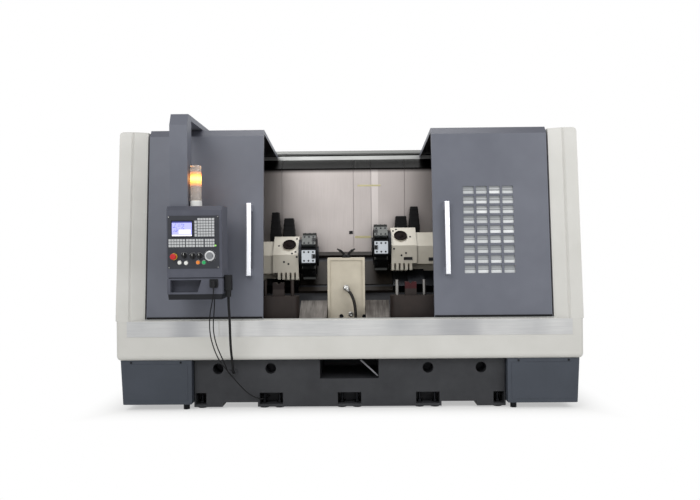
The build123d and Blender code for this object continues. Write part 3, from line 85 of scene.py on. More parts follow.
def add_node(tree: Tree, kind: str, inputs: Optional[dict] = None, **settings) -> Node:
    """Add a node with its settings and links.

    Args:
        tree: the node tree that takes the node.
        kind: the node's type name.
        inputs: socket name or number to a value or to another node's output.
        settings: attributes of the node.

    Returns:
        The new node.
    """
    made = tree.nodes.new(kind)
    for name, value in settings.items():
        setattr(made, name, value)
    for name, value in (inputs or {}).items():
        if isinstance(value, Socket):
            tree.links.new(value, made.inputs[name])
        else:
            made.inputs[name].default_value = value
    return made


class Grain(Enum):
    """Direction that brush or tool marks run in, as noise scales along X, Y and Z."""

    ALONG_X = (4.0, 420.0, 420.0)
    ALONG_Z = (420.0, 420.0, 4.0)
    DOWN_SLOPE = (42.0, 3.0, 3.0)
    ALL_WAYS = (260.0, 260.0, 260.0)


@dataclass(frozen=True)
class Finish:
    """A surface finish that makes its own material."""

    name: str
    colour: str
    roughness: float
    specular: float = 0.5

    def material(self) -> bpy.types.Material:
        """Make this finish's material, the first time it is asked for.

        Returns:
            The material.
        """
        found = bpy.data.materials.get(self.name)
        if found:
            return found
        made = bpy.data.materials.new(self.name)
        made.use_nodes = True
        tree = made.node_tree
        tree.nodes.clear()
        shader = add_node(
            tree,
            "ShaderNodeBsdfPrincipled",
            {
                "Base Color": linear(self.colour),
                "Roughness": self.roughness,
                "Specular IOR Level": self.specular,
            },
        )
        add_node(tree, "ShaderNodeOutputMaterial", {"Surface": shader.outputs[0]})
        self.surface(tree, shader)
        return made

    def surface(self, tree: Tree, shader: Node) -> None:
        """Give the shader its pattern; a plain finish has none."""

    def dress(self, piece: Piece) -> None:
        """Put the finish on a piece, in place of what it has."""
        piece.data.materials.clear()
        piece.data.materials.append(self.material())

    def texture(
        self, tree: Tree, shader: Node, gloss: Socket, spread: Pair, height: Socket, bump: Pair
    ) -> None:
        """Let one pattern vary the gloss and one stand out from the surface.

        Args:
            tree: the material's node tree.
            shader: the shader that is textured.
            gloss: the pattern that varies the roughness.
            spread: the roughness where that pattern is 0 and 1, as shares of the finish's own.
            height: the pattern that stands out.
            bump: how strongly it stands out, and its depth.
        """
        low, high = (self.roughness * share for share in spread)
        rough = add_node(tree, "ShaderNodeMapRange", {"Value": gloss, "To Min": low, "To Max": high})
        tree.links.new(rough.outputs[0], shader.inputs["Roughness"])
        relief = add_node(
            tree, "ShaderNodeBump", {"Height": height, "Strength": bump[0], "Distance": bump[1]}
        )
        tree.links.new(relief.outputs[0], shader.inputs["Normal"])

    @staticmethod
    def overlay(tree: Tree, shader: Node, mask: Socket, colour: str) -> None:
        """Lay a colour over what the shader has, where a mask is 1.

        Args:
            tree: the material's node tree.
            shader: the shader that is coloured.
            mask: 0 keeps the colour below, 1 shows the new one.
            colour: the new colour as sRGB hex.
        """
        links = shader.inputs["Base Color"].links
        below = links[0].from_socket if links else tuple(shader.inputs["Base Color"].default_value)
        mix = add_node(tree, "ShaderNodeMix", {0: mask, 6: below, 7: linear(colour)}, data_type="RGBA")
        tree.links.new(mix.outputs[2], shader.inputs["Base Color"])

    @staticmethod
    def where(tree: Tree) -> bpy.types.bpy_prop_collection:
        """Return the X, Y and Z of the shaded point, in the object's own frame."""
        place = add_node(tree, "ShaderNodeTexCoord").outputs["Object"]
        return add_node(tree, "ShaderNodeSeparateXYZ", {0: place}).outputs

    @staticmethod
    def away(tree: Tree, value: Socket, middle: float) -> Socket:
        """Return how far a value lies from a middle one."""
        off = add_node(tree, "ShaderNodeMath", {0: value, 1: middle}, operation="SUBTRACT").outputs[0]
        return add_node(tree, "ShaderNodeMath", {0: off}, operation="ABSOLUTE").outputs[0]

    @staticmethod
    def window(tree: Tree, value: Socket, low: float, high: float, also: Optional[Socket] = None) -> Socket:
        """Return a mask that is 1 where a value lies between two bounds.

        Args:
            tree: the material's node tree.
            value: the value that is tested.
            low: the lower bound.
            high: the upper bound.
            also: a mask that has to be 1 as well, or None.

        Returns:
            The mask.
        """
        above = add_node(tree, "ShaderNodeMath", {0: value, 1: low}, operation="GREATER_THAN").outputs[0]
        below = add_node(tree, "ShaderNodeMath", {0: value, 1: high}, operation="LESS_THAN").outputs[0]
        mask = add_node(tree, "ShaderNodeMath", {0: above, 1: below}, operation="MULTIPLY").outputs[0]
        if also is None:
            return mask
        return add_node(tree, "ShaderNodeMath", {0: mask, 1: also}, operation="MULTIPLY").outputs[0]


@dataclass(frozen=True)
class Enamel(Finish):
    """Sprayed enamel on sheet steel: fine orange peel, with tone that drifts over a panel."""

    shade: str = "#000000"
    peel_mm: float = 7.0
    peel_depth: float = 0.00012
    drift: float = 0.45
    # Painted shade for the faces that look up, where given
    upper: Optional[str] = None

    def surface(self, tree: Tree, shader: Node) -> None:
        """Mix the two tones in broad clouds, add the peel as bump and paint shade on the faces that look up.

        Args:
            tree: the node tree that is built up.
            shader: the shader that takes the pattern.
        """
        shader.inputs["Base Color"].default_value = linear(self.shade)
        place = add_node(tree, "ShaderNodeTexCoord").outputs["Object"]
        cloud = add_node(
            tree,
            "ShaderNodeTexNoise",
            {"Vector": place, "Scale": 1 / self.drift, "Detail": 3.0, "Roughness": 0.6},
        ).outputs[0]
        tone = add_node(tree, "ShaderNodeMapRange", {"Value": cloud, "From Min": 0.3, "From Max": 0.7})
        self.overlay(tree, shader, tone.outputs[0], self.colour)
        peel = add_node(
            tree, "ShaderNodeTexNoise", {"Vector": place, "Scale": 1 / (self.peel_mm * MM), "Detail": 1.0}
        ).outputs[0]
        self.texture(tree, shader, cloud, (0.85, 1.15), peel, (0.35, self.peel_depth))
        # Painted shade: faces that look up are darkened to the upper colour
        if self.upper:
            normal = add_node(tree, "ShaderNodeNewGeometry").outputs["Normal"]
            rise = add_node(tree, "ShaderNodeSeparateXYZ", {0: normal}).outputs["Z"]
            lying = add_node(tree, "ShaderNodeMapRange", {"Value": rise, "From Min": 0.3, "From Max": 0.6})
            self.overlay(tree, shader, lying.outputs[0], self.upper)


@dataclass(frozen=True)
class HoodEnamel(Enamel):
    """Hood enamel: sprayed outside, with near-black painted shade on the faces that look in or down."""

    # Near-black painted shade for the faces that look in or down
    inner_shade: str = "#17171a"

    def surface(self, tree: Tree, shader: Node) -> None:
        """Paint the outside as enamel, and paint near-black shade on the faces that look in or down.

        Args:
            tree: the node tree that is built up.
            shader: the shader that takes the pattern.
        """
        super().surface(tree, shader)
        # Painted shade on the faces that look in or down, where little light falls
        normal = add_node(tree, "ShaderNodeNewGeometry").outputs["Normal"]
        parts = add_node(tree, "ShaderNodeSeparateXYZ", {0: normal}).outputs
        masks = [
            add_node(tree, "ShaderNodeMapRange", {"Value": parts[axis], "From Min": low, "From Max": high})
            for axis, low, high in (("Y", 0.2, 0.3), ("Z", -0.3, -0.5))
        ]
        inner_shade_mask = add_node(
            tree, "ShaderNodeMath", {0: masks[0].outputs[0], 1: masks[1].outputs[0]}, operation="MAXIMUM"
        )
        self.overlay(tree, shader, inner_shade_mask.outputs[0], self.inner_shade)


@dataclass(frozen=True)
class Brushed(Finish):
    """Brushed or ground metal: long fine scratches that break up its reflection."""

    shade: str = "#000000"
    grain: Grain = Grain.ALONG_X
    depth: float = 0.00006
    clouds_per_metre: float = 2.2

    def surface(self, tree: Tree, shader: Node) -> None:
        """Stretch a noise along the grain and let it vary tone, gloss and height.

        Args:
            tree: the node tree that is built up.
            shader: the shader that takes the pattern.
        """
        shader.inputs["Metallic"].default_value = 1.0
        shader.inputs["Base Color"].default_value = linear(self.shade)
        place = add_node(tree, "ShaderNodeTexCoord").outputs["Object"]
        turned = add_node(tree, "ShaderNodeMapping", {"Vector": place, "Scale": self.grain.value}).outputs[0]
        lines = add_node(
            tree, "ShaderNodeTexNoise", {"Vector": turned, "Scale": 1.0, "Detail": 4.0, "Roughness": 0.65}
        ).outputs[0]
        clouds = add_node(
            tree, "ShaderNodeTexNoise", {"Vector": place, "Scale": self.clouds_per_metre, "Detail": 3.0}
        ).outputs[0]
        both = add_node(tree, "ShaderNodeMath", {0: lines, 1: clouds}, operation="MULTIPLY").outputs[0]
        tone = add_node(tree, "ShaderNodeMapRange", {"Value": both, "From Min": 0.12, "From Max": 0.38})
        self.overlay(tree, shader, tone.outputs[0], self.colour)
        self.texture(tree, shader, lines, (0.75, 1.3), lines, (0.3, self.depth))


@dataclass(frozen=True)
class WallSheet(Brushed):
    """Stainless wall sheets: soft vertical brushing, with a painted pool of light in the middle, painted
    shade to the sides and near-black painted shadow under the eave.
    """

    side: str = "#000000"
    eave: str = "#000000"
    strip: str = "#c6bfbc"
    light_pool_x: float = -0.14
    strip_x: Pair = (0.219, 0.284)
    eave_z: Pair = (2.060, 2.096)

    def surface(self, tree: Tree, shader: Node) -> None:
        """Brush the sheet, paint shade on it away from the work light, and paint near-black shadow on its
        bent top.

        Args:
            tree: the node tree that is built up.
            shader: the shader that takes the pattern.
        """
        super().surface(tree, shader)
        parts = self.where(tree)
        # Painted shade that grows away from the middle of the work light
        dull = add_node(
            tree,
            "ShaderNodeMapRange",
            {
                "Value": self.away(tree, parts["X"], self.light_pool_x),
                "From Min": 0.30,
                "From Max": 0.85,
                "To Max": 0.75,
            },
        )
        self.overlay(tree, shader, dull.outputs[0], self.side)
        self.overlay(tree, shader, self.window(tree, parts["X"], *self.strip_x), self.strip)
        # Painted shadow under the eave: the bent top goes near black
        bent = add_node(
            tree,
            "ShaderNodeMapRange",
            {"Value": parts["Z"], "From Min": self.eave_z[0], "From Max": self.eave_z[1]},
        )
        self.overlay(tree, shader, bent.outputs[0], self.eave)


@dataclass(frozen=True)
class Moulded(Finish):
    """Moulded plastic or rubber: an even colour with a fine spark-eroded grain."""

    grain_mm: float = 1.6
    grain_depth: float = 0.00008

    def surface(self, tree: Tree, shader: Node) -> None:
        """Add the mould's grain as bump, and let it vary the gloss.

        Args:
            tree: the node tree that is built up.
            shader: the shader that takes the pattern.
        """
        place = add_node(tree, "ShaderNodeTexCoord").outputs["Object"]
        grain = add_node(
            tree, "ShaderNodeTexNoise", {"Vector": place, "Scale": 1 / (self.grain_mm * MM), "Detail": 2.0}
        ).outputs[0]
        self.texture(tree, shader, grain, (0.8, 1.2), grain, (0.3, self.grain_depth))


@dataclass(frozen=True)
class PaneSheet(Moulded):
    """Frosted polycarbonate behind the grille, with painted reflections behind some slots and painted shade
    at their tops.
    """

    slot_reflection: str = "#000000"
    shadow: str = "#4e5258"
    slot_pitch: Pair = (0.109, 0.083)
    corner: Pair = (1.172, 1.4365)

    def surface(self, tree: Tree, shader: Node) -> None:
        """Frost the sheet, paint a reflection of its own brightness into each slot and paint shade on its
        upper part.

        Args:
            tree: the node tree that is built up.
            shader: the shader that takes the pattern.
        """
        super().surface(tree, shader)
        parts = self.where(tree)
        steps = []
        for axis, pitch, start in zip("XZ", self.slot_pitch, self.corner):
            off = add_node(
                tree, "ShaderNodeMath", {0: parts[axis], 1: start}, operation="SUBTRACT"
            ).outputs[0]
            count = add_node(tree, "ShaderNodeMath", {0: off, 1: pitch}, operation="DIVIDE").outputs[0]
            steps.append(add_node(tree, "ShaderNodeMath", {0: count}, operation="FLOOR").outputs[0])
        spot = add_node(tree, "ShaderNodeCombineXYZ", {0: steps[0], 1: steps[1]}).outputs[0]
        chance = add_node(tree, "ShaderNodeTexWhiteNoise", {"Vector": spot}, noise_dimensions="2D")
        tone = add_node(
            tree,
            "ShaderNodeMapRange",
            {"Value": chance.outputs["Value"], "From Min": 0.2, "From Max": 0.9, "To Min": 0.35},
        )
        # Painted reflections that brighten some slots more than others
        self.overlay(tree, shader, tone.outputs[0], self.slot_reflection)
        # Painted shade on the upper part of each slot
        share = add_node(tree, "ShaderNodeMath", {0: count}, operation="FRACT").outputs[0]
        shaded = add_node(
            tree, "ShaderNodeMapRange", {"Value": share, "From Min": 0.56, "From Max": 0.64, "To Max": 0.7}
        )
        self.overlay(tree, shader, shaded.outputs[0], self.shadow)


@dataclass(frozen=True)
class ChannelSteel(Brushed):
    """Stainless door channel: a bright lower lip, a greyer upper one and a shadowed groove between."""

    groove: str = "#232322"
    lip: str = "#868785"
    groove_z: Pair = (2.250, 2.268)

    def surface(self, tree: Tree, shader: Node) -> None:
        """Brush the channel, grey its upper lip and darken its groove.

        Args:
            tree: the node tree that is built up.
            shader: the shader that takes the pattern.
        """
        super().surface(tree, shader)
        height = self.where(tree)["Z"]
        self.overlay(tree, shader, self.window(tree, height, self.groove_z[1], FAR), self.lip)
        self.overlay(tree, shader, self.window(tree, height, *self.groove_z), self.groove)


@dataclass(frozen=True)
class SillSteel(Brushed):
    """Rolled sill plate: fine lines along it, with broad bright and dull reaches."""

    reach: float = 0.55
    dull: str = "#8f9095"

    def surface(self, tree: Tree, shader: Node) -> None:
        """Brush the plate and dull it in broad reaches along its length.

        Args:
            tree: the node tree that is built up.
            shader: the shader that takes the pattern.
        """
        super().surface(tree, shader)
        place = add_node(tree, "ShaderNodeTexCoord").outputs["Object"]
        flat = add_node(tree, "ShaderNodeMapping", {"Vector": place, "Scale": (1.0, 0.0, 0.0)}).outputs[0]
        wave = add_node(
            tree, "ShaderNodeTexNoise", {"Vector": flat, "Scale": 1 / self.reach, "Detail": 1.0}
        ).outputs[0]
        mask = add_node(
            tree, "ShaderNodeMapRange", {"Value": wave, "From Min": 0.5, "From Max": 0.75, "To Max": 0.8}
        )
        self.overlay(tree, shader, mask.outputs[0], self.dull)


@dataclass(frozen=True)
class RestPaint(Enamel):
    """Brown rest paint below, with bare steel posts above it on both sides of the jaws."""

    post: str = "#8d8b89"
    post_foot: float = 0.930
    middle_x: float = 0.544
    jaw_half: float = 0.070

    def surface(self, tree: Tree, shader: Node) -> None:
        """Paint the block and leave the posts bare.

        Args:
            tree: the node tree that is built up.
            shader: the shader that takes the pattern.
        """
        super().surface(tree, shader)
        parts = self.where(tree)
        outer = self.window(tree, self.away(tree, parts["X"], self.middle_x), self.jaw_half, FAR)
        bare = self.window(tree, parts["Z"], self.post_foot, FAR, outer)
        self.overlay(tree, shader, bare, self.post)
        tree.links.new(bare, shader.inputs["Metallic"])


@dataclass(frozen=True)
class TurnedWheel(Brushed):
    """Bright turned rim with a duller hub, so the handwheel reads as two rings."""

    hub: str = "#85878a"
    middle: Pair = (-1.054, 1.283)
    hub_radius: float = 0.0275

    def surface(self, tree: Tree, shader: Node) -> None:
        """Turn the wheel and dull the disc about its middle.

        Args:
            tree: the node tree that is built up.
            shader: the shader that takes the pattern.
        """
        super().surface(tree, shader)
        place = add_node(tree, "ShaderNodeTexCoord").outputs["Object"]
        shift = (-self.middle[0], 0.0, -self.middle[1])
        flat = add_node(
            tree, "ShaderNodeMapping", {"Vector": place, "Location": shift, "Scale": (1.0, 0.0, 1.0)}
        ).outputs[0]
        radius = add_node(tree, "ShaderNodeVectorMath", {0: flat}, operation="LENGTH").outputs["Value"]
        self.overlay(tree, shader, self.window(tree, radius, -FAR, self.hub_radius), self.hub)


@dataclass(frozen=True)
class JawPaint(Enamel):
    """Dull red jaw paint, with painted shade that makes the left rest's jaws nearly black."""

    # Painted shade for the left rest's jaws
    jaw_shade: str = "#140a09"

    def surface(self, tree: Tree, shader: Node) -> None:
        """Paint the jaws and paint shade over those of the left rest."""
        super().surface(tree, shader)
        # Painted shade over the jaws of the left rest
        self.overlay(tree, shader, self.window(tree, self.where(tree)["X"], -FAR, 0.0), self.jaw_shade)


@dataclass(frozen=True)
class BlockSteel(Brushed):
    """Tool block steel, ground bright, with painted shade that darkens every block but the one that faces
    front.
    """

    axis: Pair = (0.0, 0.0)
    # Painted shade for every block but the one in front
    block_shade: str = "#3d3e3d"
    reach: float = 0.15
    half_width: float = 0.060

    def surface(self, tree: Tree, shader: Node) -> None:
        """Grind the steel, then paint shade over every block but the one in front.

        Args:
            tree: the node tree that is built up.
            shader: the shader that takes the pattern.
        """
        super().surface(tree, shader)
        parts = self.where(tree)
        wide = self.window(tree, self.away(tree, parts["Z"], self.axis[1]), self.half_width, FAR)
        deep = self.window(tree, parts["Y"], self.axis[0] - self.reach, FAR)
        dark = add_node(tree, "ShaderNodeMath", {0: wide, 1: deep}, operation="MAXIMUM").outputs[0]
        # Painted shade: only the block that faces front keeps its bright steel
        self.overlay(tree, shader, dark, self.block_shade)


@dataclass(frozen=True)
class LampGlass(Finish):
    """Clear ribbed glass of the signal lamp, with an amber bulb that glows in its upper half."""

    amber: str = "#ff8a14"
    hot: str = "#ffd27a"
    low: float = 1.714
    high: float = 1.962
    glow: float = 0.70
    reach: float = 0.26
    brightness: float = 2.4
    rib_mm: float = 9.0
    rib_depth: float = 0.0008

    def surface(self, tree: Tree, shader: Node) -> None:
        """Rib the glass and let the amber light show round the bulb.

        Args:
            tree: the node tree that is built up.
            shader: the shader that takes the pattern.
        """
        shader.inputs["Transmission Weight"].default_value = 0.8
        shader.inputs["IOR"].default_value = 1.45
        share = add_node(
            tree,
            "ShaderNodeMapRange",
            {"Value": self.where(tree)["Z"], "From Min": self.low, "From Max": self.high},
        ).outputs[0]
        off = self.away(tree, share, self.glow)
        lit = add_node(
            tree,
            "ShaderNodeMapRange",
            {"Value": off, "From Min": 0.0, "From Max": self.reach, "To Min": 1.0, "To Max": 0.0},
            interpolation_type="SMOOTHSTEP",
        ).outputs[0]
        self.overlay(tree, shader, lit, self.amber)
        core = add_node(tree, "ShaderNodeMath", {0: lit, 1: 3.0}, operation="POWER").outputs[0]
        fire = add_node(
            tree, "ShaderNodeMix", {0: core, 6: linear(self.amber), 7: linear(self.hot)}, data_type="RGBA"
        )
        tree.links.new(fire.outputs[2], shader.inputs["Emission Color"])
        strength = add_node(tree, "ShaderNodeMath", {0: lit, 1: self.brightness}, operation="MULTIPLY")
        tree.links.new(strength.outputs[0], shader.inputs["Emission Strength"])
        place = add_node(tree, "ShaderNodeTexCoord").outputs["Object"]
        ribs = add_node(
            tree,
            "ShaderNodeTexWave",
            {"Vector": place, "Scale": 0.314 / (self.rib_mm * MM)},
            bands_direction="Z",
        ).outputs[0]
        bump = add_node(
            tree, "ShaderNodeBump", {"Height": ribs, "Strength": 0.4, "Distance": self.rib_depth}
        )
        tree.links.new(bump.outputs[0], shader.inputs["Normal"])


@dataclass(frozen=True)
class ScreenGlass(Finish):
    """Lit control screen in a black bezel: lavender field, dark head line and rows of plain marks."""

    low: Pair = (-1.345, 1.436)
    high: Pair = (-1.191, 1.550)
    field: str = "#a3a4ee"
    head: str = "#2c2f66"
    mark: str = "#4b50b4"
    pale: str = "#dcd8f8"
    foot: str = "#f1f0fb"
    cells: Pair = (26.0, 11.0)
    brightness: float = 0.55

    def surface(self, tree: Tree, shader: Node) -> None:
        """Draw the picture inside the bezel and let it shine.

        Args:
            tree: the node tree that is built up.
            shader: the shader that takes the pattern.
        """
        parts = self.where(tree)
        across, up = (
            add_node(
                tree,
                "ShaderNodeMapRange",
                {"Value": parts[axis], "From Min": low, "From Max": high},
                clamp=False,
            ).outputs[0]
            for axis, low, high in zip("XZ", self.low, self.high)
        )
        inside = self.window(tree, across, 0.0, 1.0, self.window(tree, up, 0.0, 1.0))
        self.overlay(tree, shader, inside, self.field)
        steps = []
        for share, count in zip((across, up), self.cells):
            cell = add_node(tree, "ShaderNodeMath", {0: share, 1: count}, operation="MULTIPLY").outputs[0]
            steps.append(add_node(tree, "ShaderNodeMath", {0: cell}, operation="FLOOR").outputs[0])
        line = add_node(tree, "ShaderNodeMath", {0: cell}, operation="FRACT").outputs[0]
        spot = add_node(tree, "ShaderNodeCombineXYZ", {0: steps[0], 1: steps[1]}).outputs[0]
        chance = add_node(tree, "ShaderNodeTexWhiteNoise", {"Vector": spot}, noise_dimensions="2D")
        marked = self.window(tree, chance.outputs["Value"], 0.55, FAR)
        rows = self.window(tree, line, 0.25, 0.7, self.window(tree, up, 0.30, 0.86, marked))
        self.overlay(tree, shader, self.window(tree, across, 0.05, 0.62, rows), self.mark)
        for left, right, bottom, top_edge, colour in (
            (0.34, 0.94, 0.16, 0.44, self.pale),
            (0.0, 1.0, 0.0, 0.09, self.foot),
            (0.0, 1.0, 0.90, 1.0, self.head),
        ):
            area = self.window(tree, across, left, right, self.window(tree, up, bottom, top_edge))
            self.overlay(tree, shader, area, colour)
        picture = shader.inputs["Base Color"].links[0].from_socket
        tree.links.new(picture, shader.inputs["Emission Color"])
        strength = add_node(tree, "ShaderNodeMath", {0: inside, 1: self.brightness}, operation="MULTIPLY")
        tree.links.new(strength.outputs[0], shader.inputs["Emission Strength"])


# Columns, apron and cabinet: warm white stoved enamel with a soft sheen
CREAM = Enamel("cream_enamel", "#c9c8c4", 0.42, shade="#c0bfba")
# Doors and hoods: blue-grey enamel, with painted shade on the faces that look up and near-black painted shade
# on the faces that look in or down
GREY = HoodEnamel("blue_grey_enamel", "#656872", 0.45, 0.35, shade="#5b5e68", upper="#484a53")
# Pendant shell: the same grey with painted shade on the faces that look up, and none on the faces that look
# in or down
PENDANT = Enamel("pendant_grey_enamel", "#555761", 0.5, 0.12, shade="#4c4e57", drift=0.2, upper="#474952")
# Pendant arm: the doors' grey on a welded box, with painted shade on the faces that look up
ARM = Enamel("arm_grey_enamel", "#646771", 0.45, 0.35, shade="#5a5d67", upper="#484a53")
# Slats behind the grille: pale grey enamel
SLAT = Enamel("pale_slat_enamel", "#8f9295", 0.5, 0.3, shade="#85888b", drift=0.2)
# Base boxes: darker blue-grey enamel
DARK = Enamel("dark_grey_enamel", "#40454e", 0.48, 0.3, shade="#383d45")
# Base casting: brushed-on machine paint over sand-cast iron, so it is rough and mottled
IRON = Enamel(
    "painted_casting", "#38393c", 0.6, 0.25, shade="#2e2f32", peel_mm=16.0, peel_depth=0.0006, drift=0.2
)
# Turret housings: ivory machine enamel; the centre unit's is a little older
TURRET = Enamel("turret_enamel", "#c9c3b6", 0.4, shade="#bcb6a8", drift=0.15)
CENTRE = Enamel("centre_unit_enamel", "#c3bbaa", 0.42, shade="#b5ad9c", drift=0.15)
# Wall sheets behind the work space: satin stainless with a painted pool of light in the middle, painted shade
# towards the sides and a near-black painted shadow under the eave
WALL = WallSheet(
    "brushed_wall_stainless",
    "#bbb4b1",
    0.36,
    shade="#a9a29f",
    grain=Grain.ALONG_Z,
    depth=0.00002,
    side="#b0a8a5",
    eave="#0b0a0a",
)
# Trays beside the centre unit: stainless that chips have dulled, streaked down the slope
TRAY = Brushed("worn_tray_stainless", "#77736f", 0.42, shade="#35312e", grain=Grain.DOWN_SLOPE)
# Plates on the sill: rolled stainless, with broad bright and dull reaches along it
SILL = SillSteel("brushed_sill_steel", "#d0d0cf", 0.32, shade="#b3b4b5", grain=Grain.ALONG_X)
# Door rail: stainless channel that is dark inside
RAIL = ChannelSteel("rail_stainless", "#b9bab8", 0.34, shade="#a3a4a2", grain=Grain.ALONG_X)
# Tool blocks: ground bright steel, with painted shade over every block but the one that faces front
LEFT_BLOCKS = BlockSteel(
    "left_block_steel", "#c3c8cd", 0.34, shade="#a9aeb4", grain=Grain.ALL_WAYS, axis=(-0.0602, 1.2592)
)
RIGHT_BLOCKS = BlockSteel(
    "right_block_steel", "#c3c8cd", 0.34, shade="#a9aeb4", grain=Grain.ALL_WAYS, axis=(0.0148, 1.3341)
)
# Chip-opening rod: mid-grey steel that has lost its shine
ROD_STEEL = Brushed("worn_rod_steel", "#86868a", 0.5, shade="#5d5d60", grain=Grain.ALL_WAYS)
# Handles: satin anodised bar, nearly white
ALUMINIUM = Brushed("satin_aluminium", "#f4f5f9", 0.3, shade="#e4e6ec", grain=Grain.ALONG_Z)
# Saddles, discs and screws: oil-blackened steel with a low metal gleam
BLACK_STEEL = Brushed("blackened_steel", "#2c2d30", 0.42, shade="#161719", grain=Grain.ALL_WAYS)
# Way cover: oiled sheet that drinks the light
COVER_OIL = Enamel("oiled_cover_sheet", "#2b2621", 0.5, 0.2, shade="#221d19", drift=0.2)
# Oil caps: nearly black, with a brown film of oil
CAP_STEEL = Enamel("oiled_cap_steel", "#190f0f", 0.6, 0.06, shade="#0d0808", drift=0.03)
# Fittings, collars and locks: smooth plate that mirrors the room
CHROME = Brushed("chrome_plate", "#a6a6a4", 0.22, shade="#8b8b89", grain=Grain.ALL_WAYS, depth=0.00001)
# Handwheel: turned aluminium with a clear lacquer
WHEEL = TurnedWheel("turned_handwheel", "#d9dadb", 0.3, shade="#b9babc", grain=Grain.ALL_WAYS)
# Work rests: dark brown machine paint; the right one stands on bare posts
REST_BROWN = Enamel("brown_rest_paint", "#2c2421", 0.5, 0.25, shade="#1f1917", drift=0.2)
REST_POSTS = RestPaint("rest_paint_and_posts", "#2c2421", 0.5, 0.25, shade="#1f1917", drift=0.2)
# Jaws of the rests: dull dark red, with painted shade on the left rest's jaws
JAW_RED = JawPaint("dull_red_jaw_paint", "#3f1115", 0.5, 0.2, shade="#280a0d", drift=0.1)
# Motor covers: matt black coat that hides their edges
MOTOR = Moulded("motor_black_coat", "#0b0b0c", 0.55, 0.15, grain_mm=3.0)
# Black plastic of small fittings and of the pendant's foot, which is a shade lighter
BLACK = Moulded("black_abs", "#121315", 0.5, 0.25)
TRAY_BLACK = Moulded("pendant_foot_abs", "#1b1c20", 0.5, 0.2)
# Keys: pale grey caps with little gloss
KEYS = Moulded("grey_key_caps", "#b4b6b8", 0.5)
# Buttons, collars and marks: clean coloured plastic with a small highlight
WHITE = Moulded("white_abs", "#dcdcd9", 0.3)
RED = Moulded("red_abs", "#b51318", 0.28)
ORANGE = Moulded("orange_abs", "#e0802c", 0.28)
YELLOW = Moulded("yellow_abs", "#c79a1e", 0.35)
GREEN = Moulded("green_abs", "#17a05b", 0.28)
# Ready lamp: pale green lens that looks lit
LED_GREEN = Moulded("lit_green_lens", "#9be36a", 0.2)
# Tape on the wall: faded yellow cloth without gloss
TAPE = Moulded("yellow_cloth_tape", "#c9c195", 0.6)
# Cords, and the door wipers that also paint the shadow line under the doors: matt black rubber
RUBBER = Moulded("cord_rubber_sheath", "#0d0d0f", 0.55, 0.2, grain_mm=3.0)
# Coolant hose: oil-proof rubber with a brown cast
HOSE = Moulded("coolant_hose_rubber", "#120e0c", 0.4, 0.35, grain_mm=3.0)
# Pendant face: charcoal plate that sets off the keys
PLATE = Enamel("dark_face_plate", "#303238", 0.4, 0.3, shade="#2a2c32", drift=0.1)
# Pane behind the grille: milky, with painted reflections in some slots and painted shade at the slots' tops
PANE = PaneSheet("frosted_polycarbonate", "#a9adaf", 0.32, 0.4, slot_reflection="#eef0f1")
# Signal lamp: ribbed glass that glows amber
LAMP = LampGlass("ribbed_lamp_glass", "#ece6de", 0.08)
# Screen: lavender picture in a black bezel
SCREEN = ScreenGlass("lit_screen", "#101114", 0.25, 0.3)

NODE_FINISHES: tuple[tuple[Finish, str], ...] = (
    (CREAM, "front_apron left_end_cover right_end_cover rear_cabinet"),
    (GREY, "left_door right_door fixed_guards"),
    (PENDANT, "pendant_cabinet lower_housing"),
    (ARM, "pendant_arm"),
    (SLAT, "grille_backing"),
    (DARK, "left_base_box right_base_box"),
    (IRON, "bed_casting"),
    (TURRET, "left_turret_housing right_turret_housing"),
    (CENTRE, "centre_unit"),
    (WALL, "back_wall"),
    (TRAY, "drip_trays"),
    (SILL, "sill_plate"),
    (RAIL, "door_rails"),
    (LEFT_BLOCKS, "left_tool_blocks"),
    (RIGHT_BLOCKS, "right_tool_blocks"),
    (ROD_STEEL, "chip_rod"),
    (ALUMINIUM, "left_door_handle right_door_handle"),
    (BLACK_STEEL, "left_saddle right_saddle left_turret_disc right_turret_disc leveling_feet"),
    (COVER_OIL, "slide_ways way_cover"),
    (WHEEL, "handwheel_dial"),
    (REST_BROWN, "left_work_rest"),
    (REST_POSTS, "right_work_rest"),
    (JAW_RED, "rest_jaws"),
    (MOTOR, "left_motor_covers right_motor_covers"),
    (BLACK, "cord_plug hand_unit rotary_switch_1 rotary_switch_2 rotary_switch_3"),
    (TRAY_BLACK, "pendant_tray"),
    (KEYS, "keys"),
    (WHITE, "white_button_1 white_button_2 lamp_base"),
    (RED, "emergency_stop"),
    (ORANGE, "orange_button"),
    (GREEN, "green_button"),
    (PLATE, "control_face"),
    (PANE, "grille_pane"),
    (LAMP, "lamp_lens"),
    (SCREEN, "screen"),
)


def stand(place: Sequence[float], ahead: Sequence[float], side: Sequence[float] = (1, 0, 0)) -> Matrix:
    """Return the turn and shift that stand a piece on a surface.

    Args:
        place: where the piece's origin goes.
        ahead: the direction that its Z takes.
        side: the direction that its X takes, as nearly as it can.

    Returns:
        The matrix that takes the piece there.
    """
    z_axis = Vector(ahead).normalized()
    x_axis = Vector(side) - z_axis * Vector(side).dot(z_axis)
    x_axis.normalize()
    turn = Matrix((x_axis, z_axis.cross(x_axis), z_axis)).transposed().to_4x4()
    return Matrix.Translation(place) @ turn


def start_box(name: str, size: Sequence[float], place: Matrix = Matrix()) -> Piece:
    """Add a cube at its size and place, to be shaped.

    Args:
        name: the piece's name.
        size: its size along its own X, Y and Z.
        place: where it stands.

    Returns:
        The new piece.
    """
    bpy.ops.object.select_all(action="DESELECT")
    bpy.ops.mesh.primitive_cube_add(size=1, location=place.translation, rotation=place.to_euler())
    piece = bpy.context.object
    piece.name = name
    piece.scale = size
    bpy.ops.object.transform_apply(location=False, rotation=False, scale=True)
    return piece


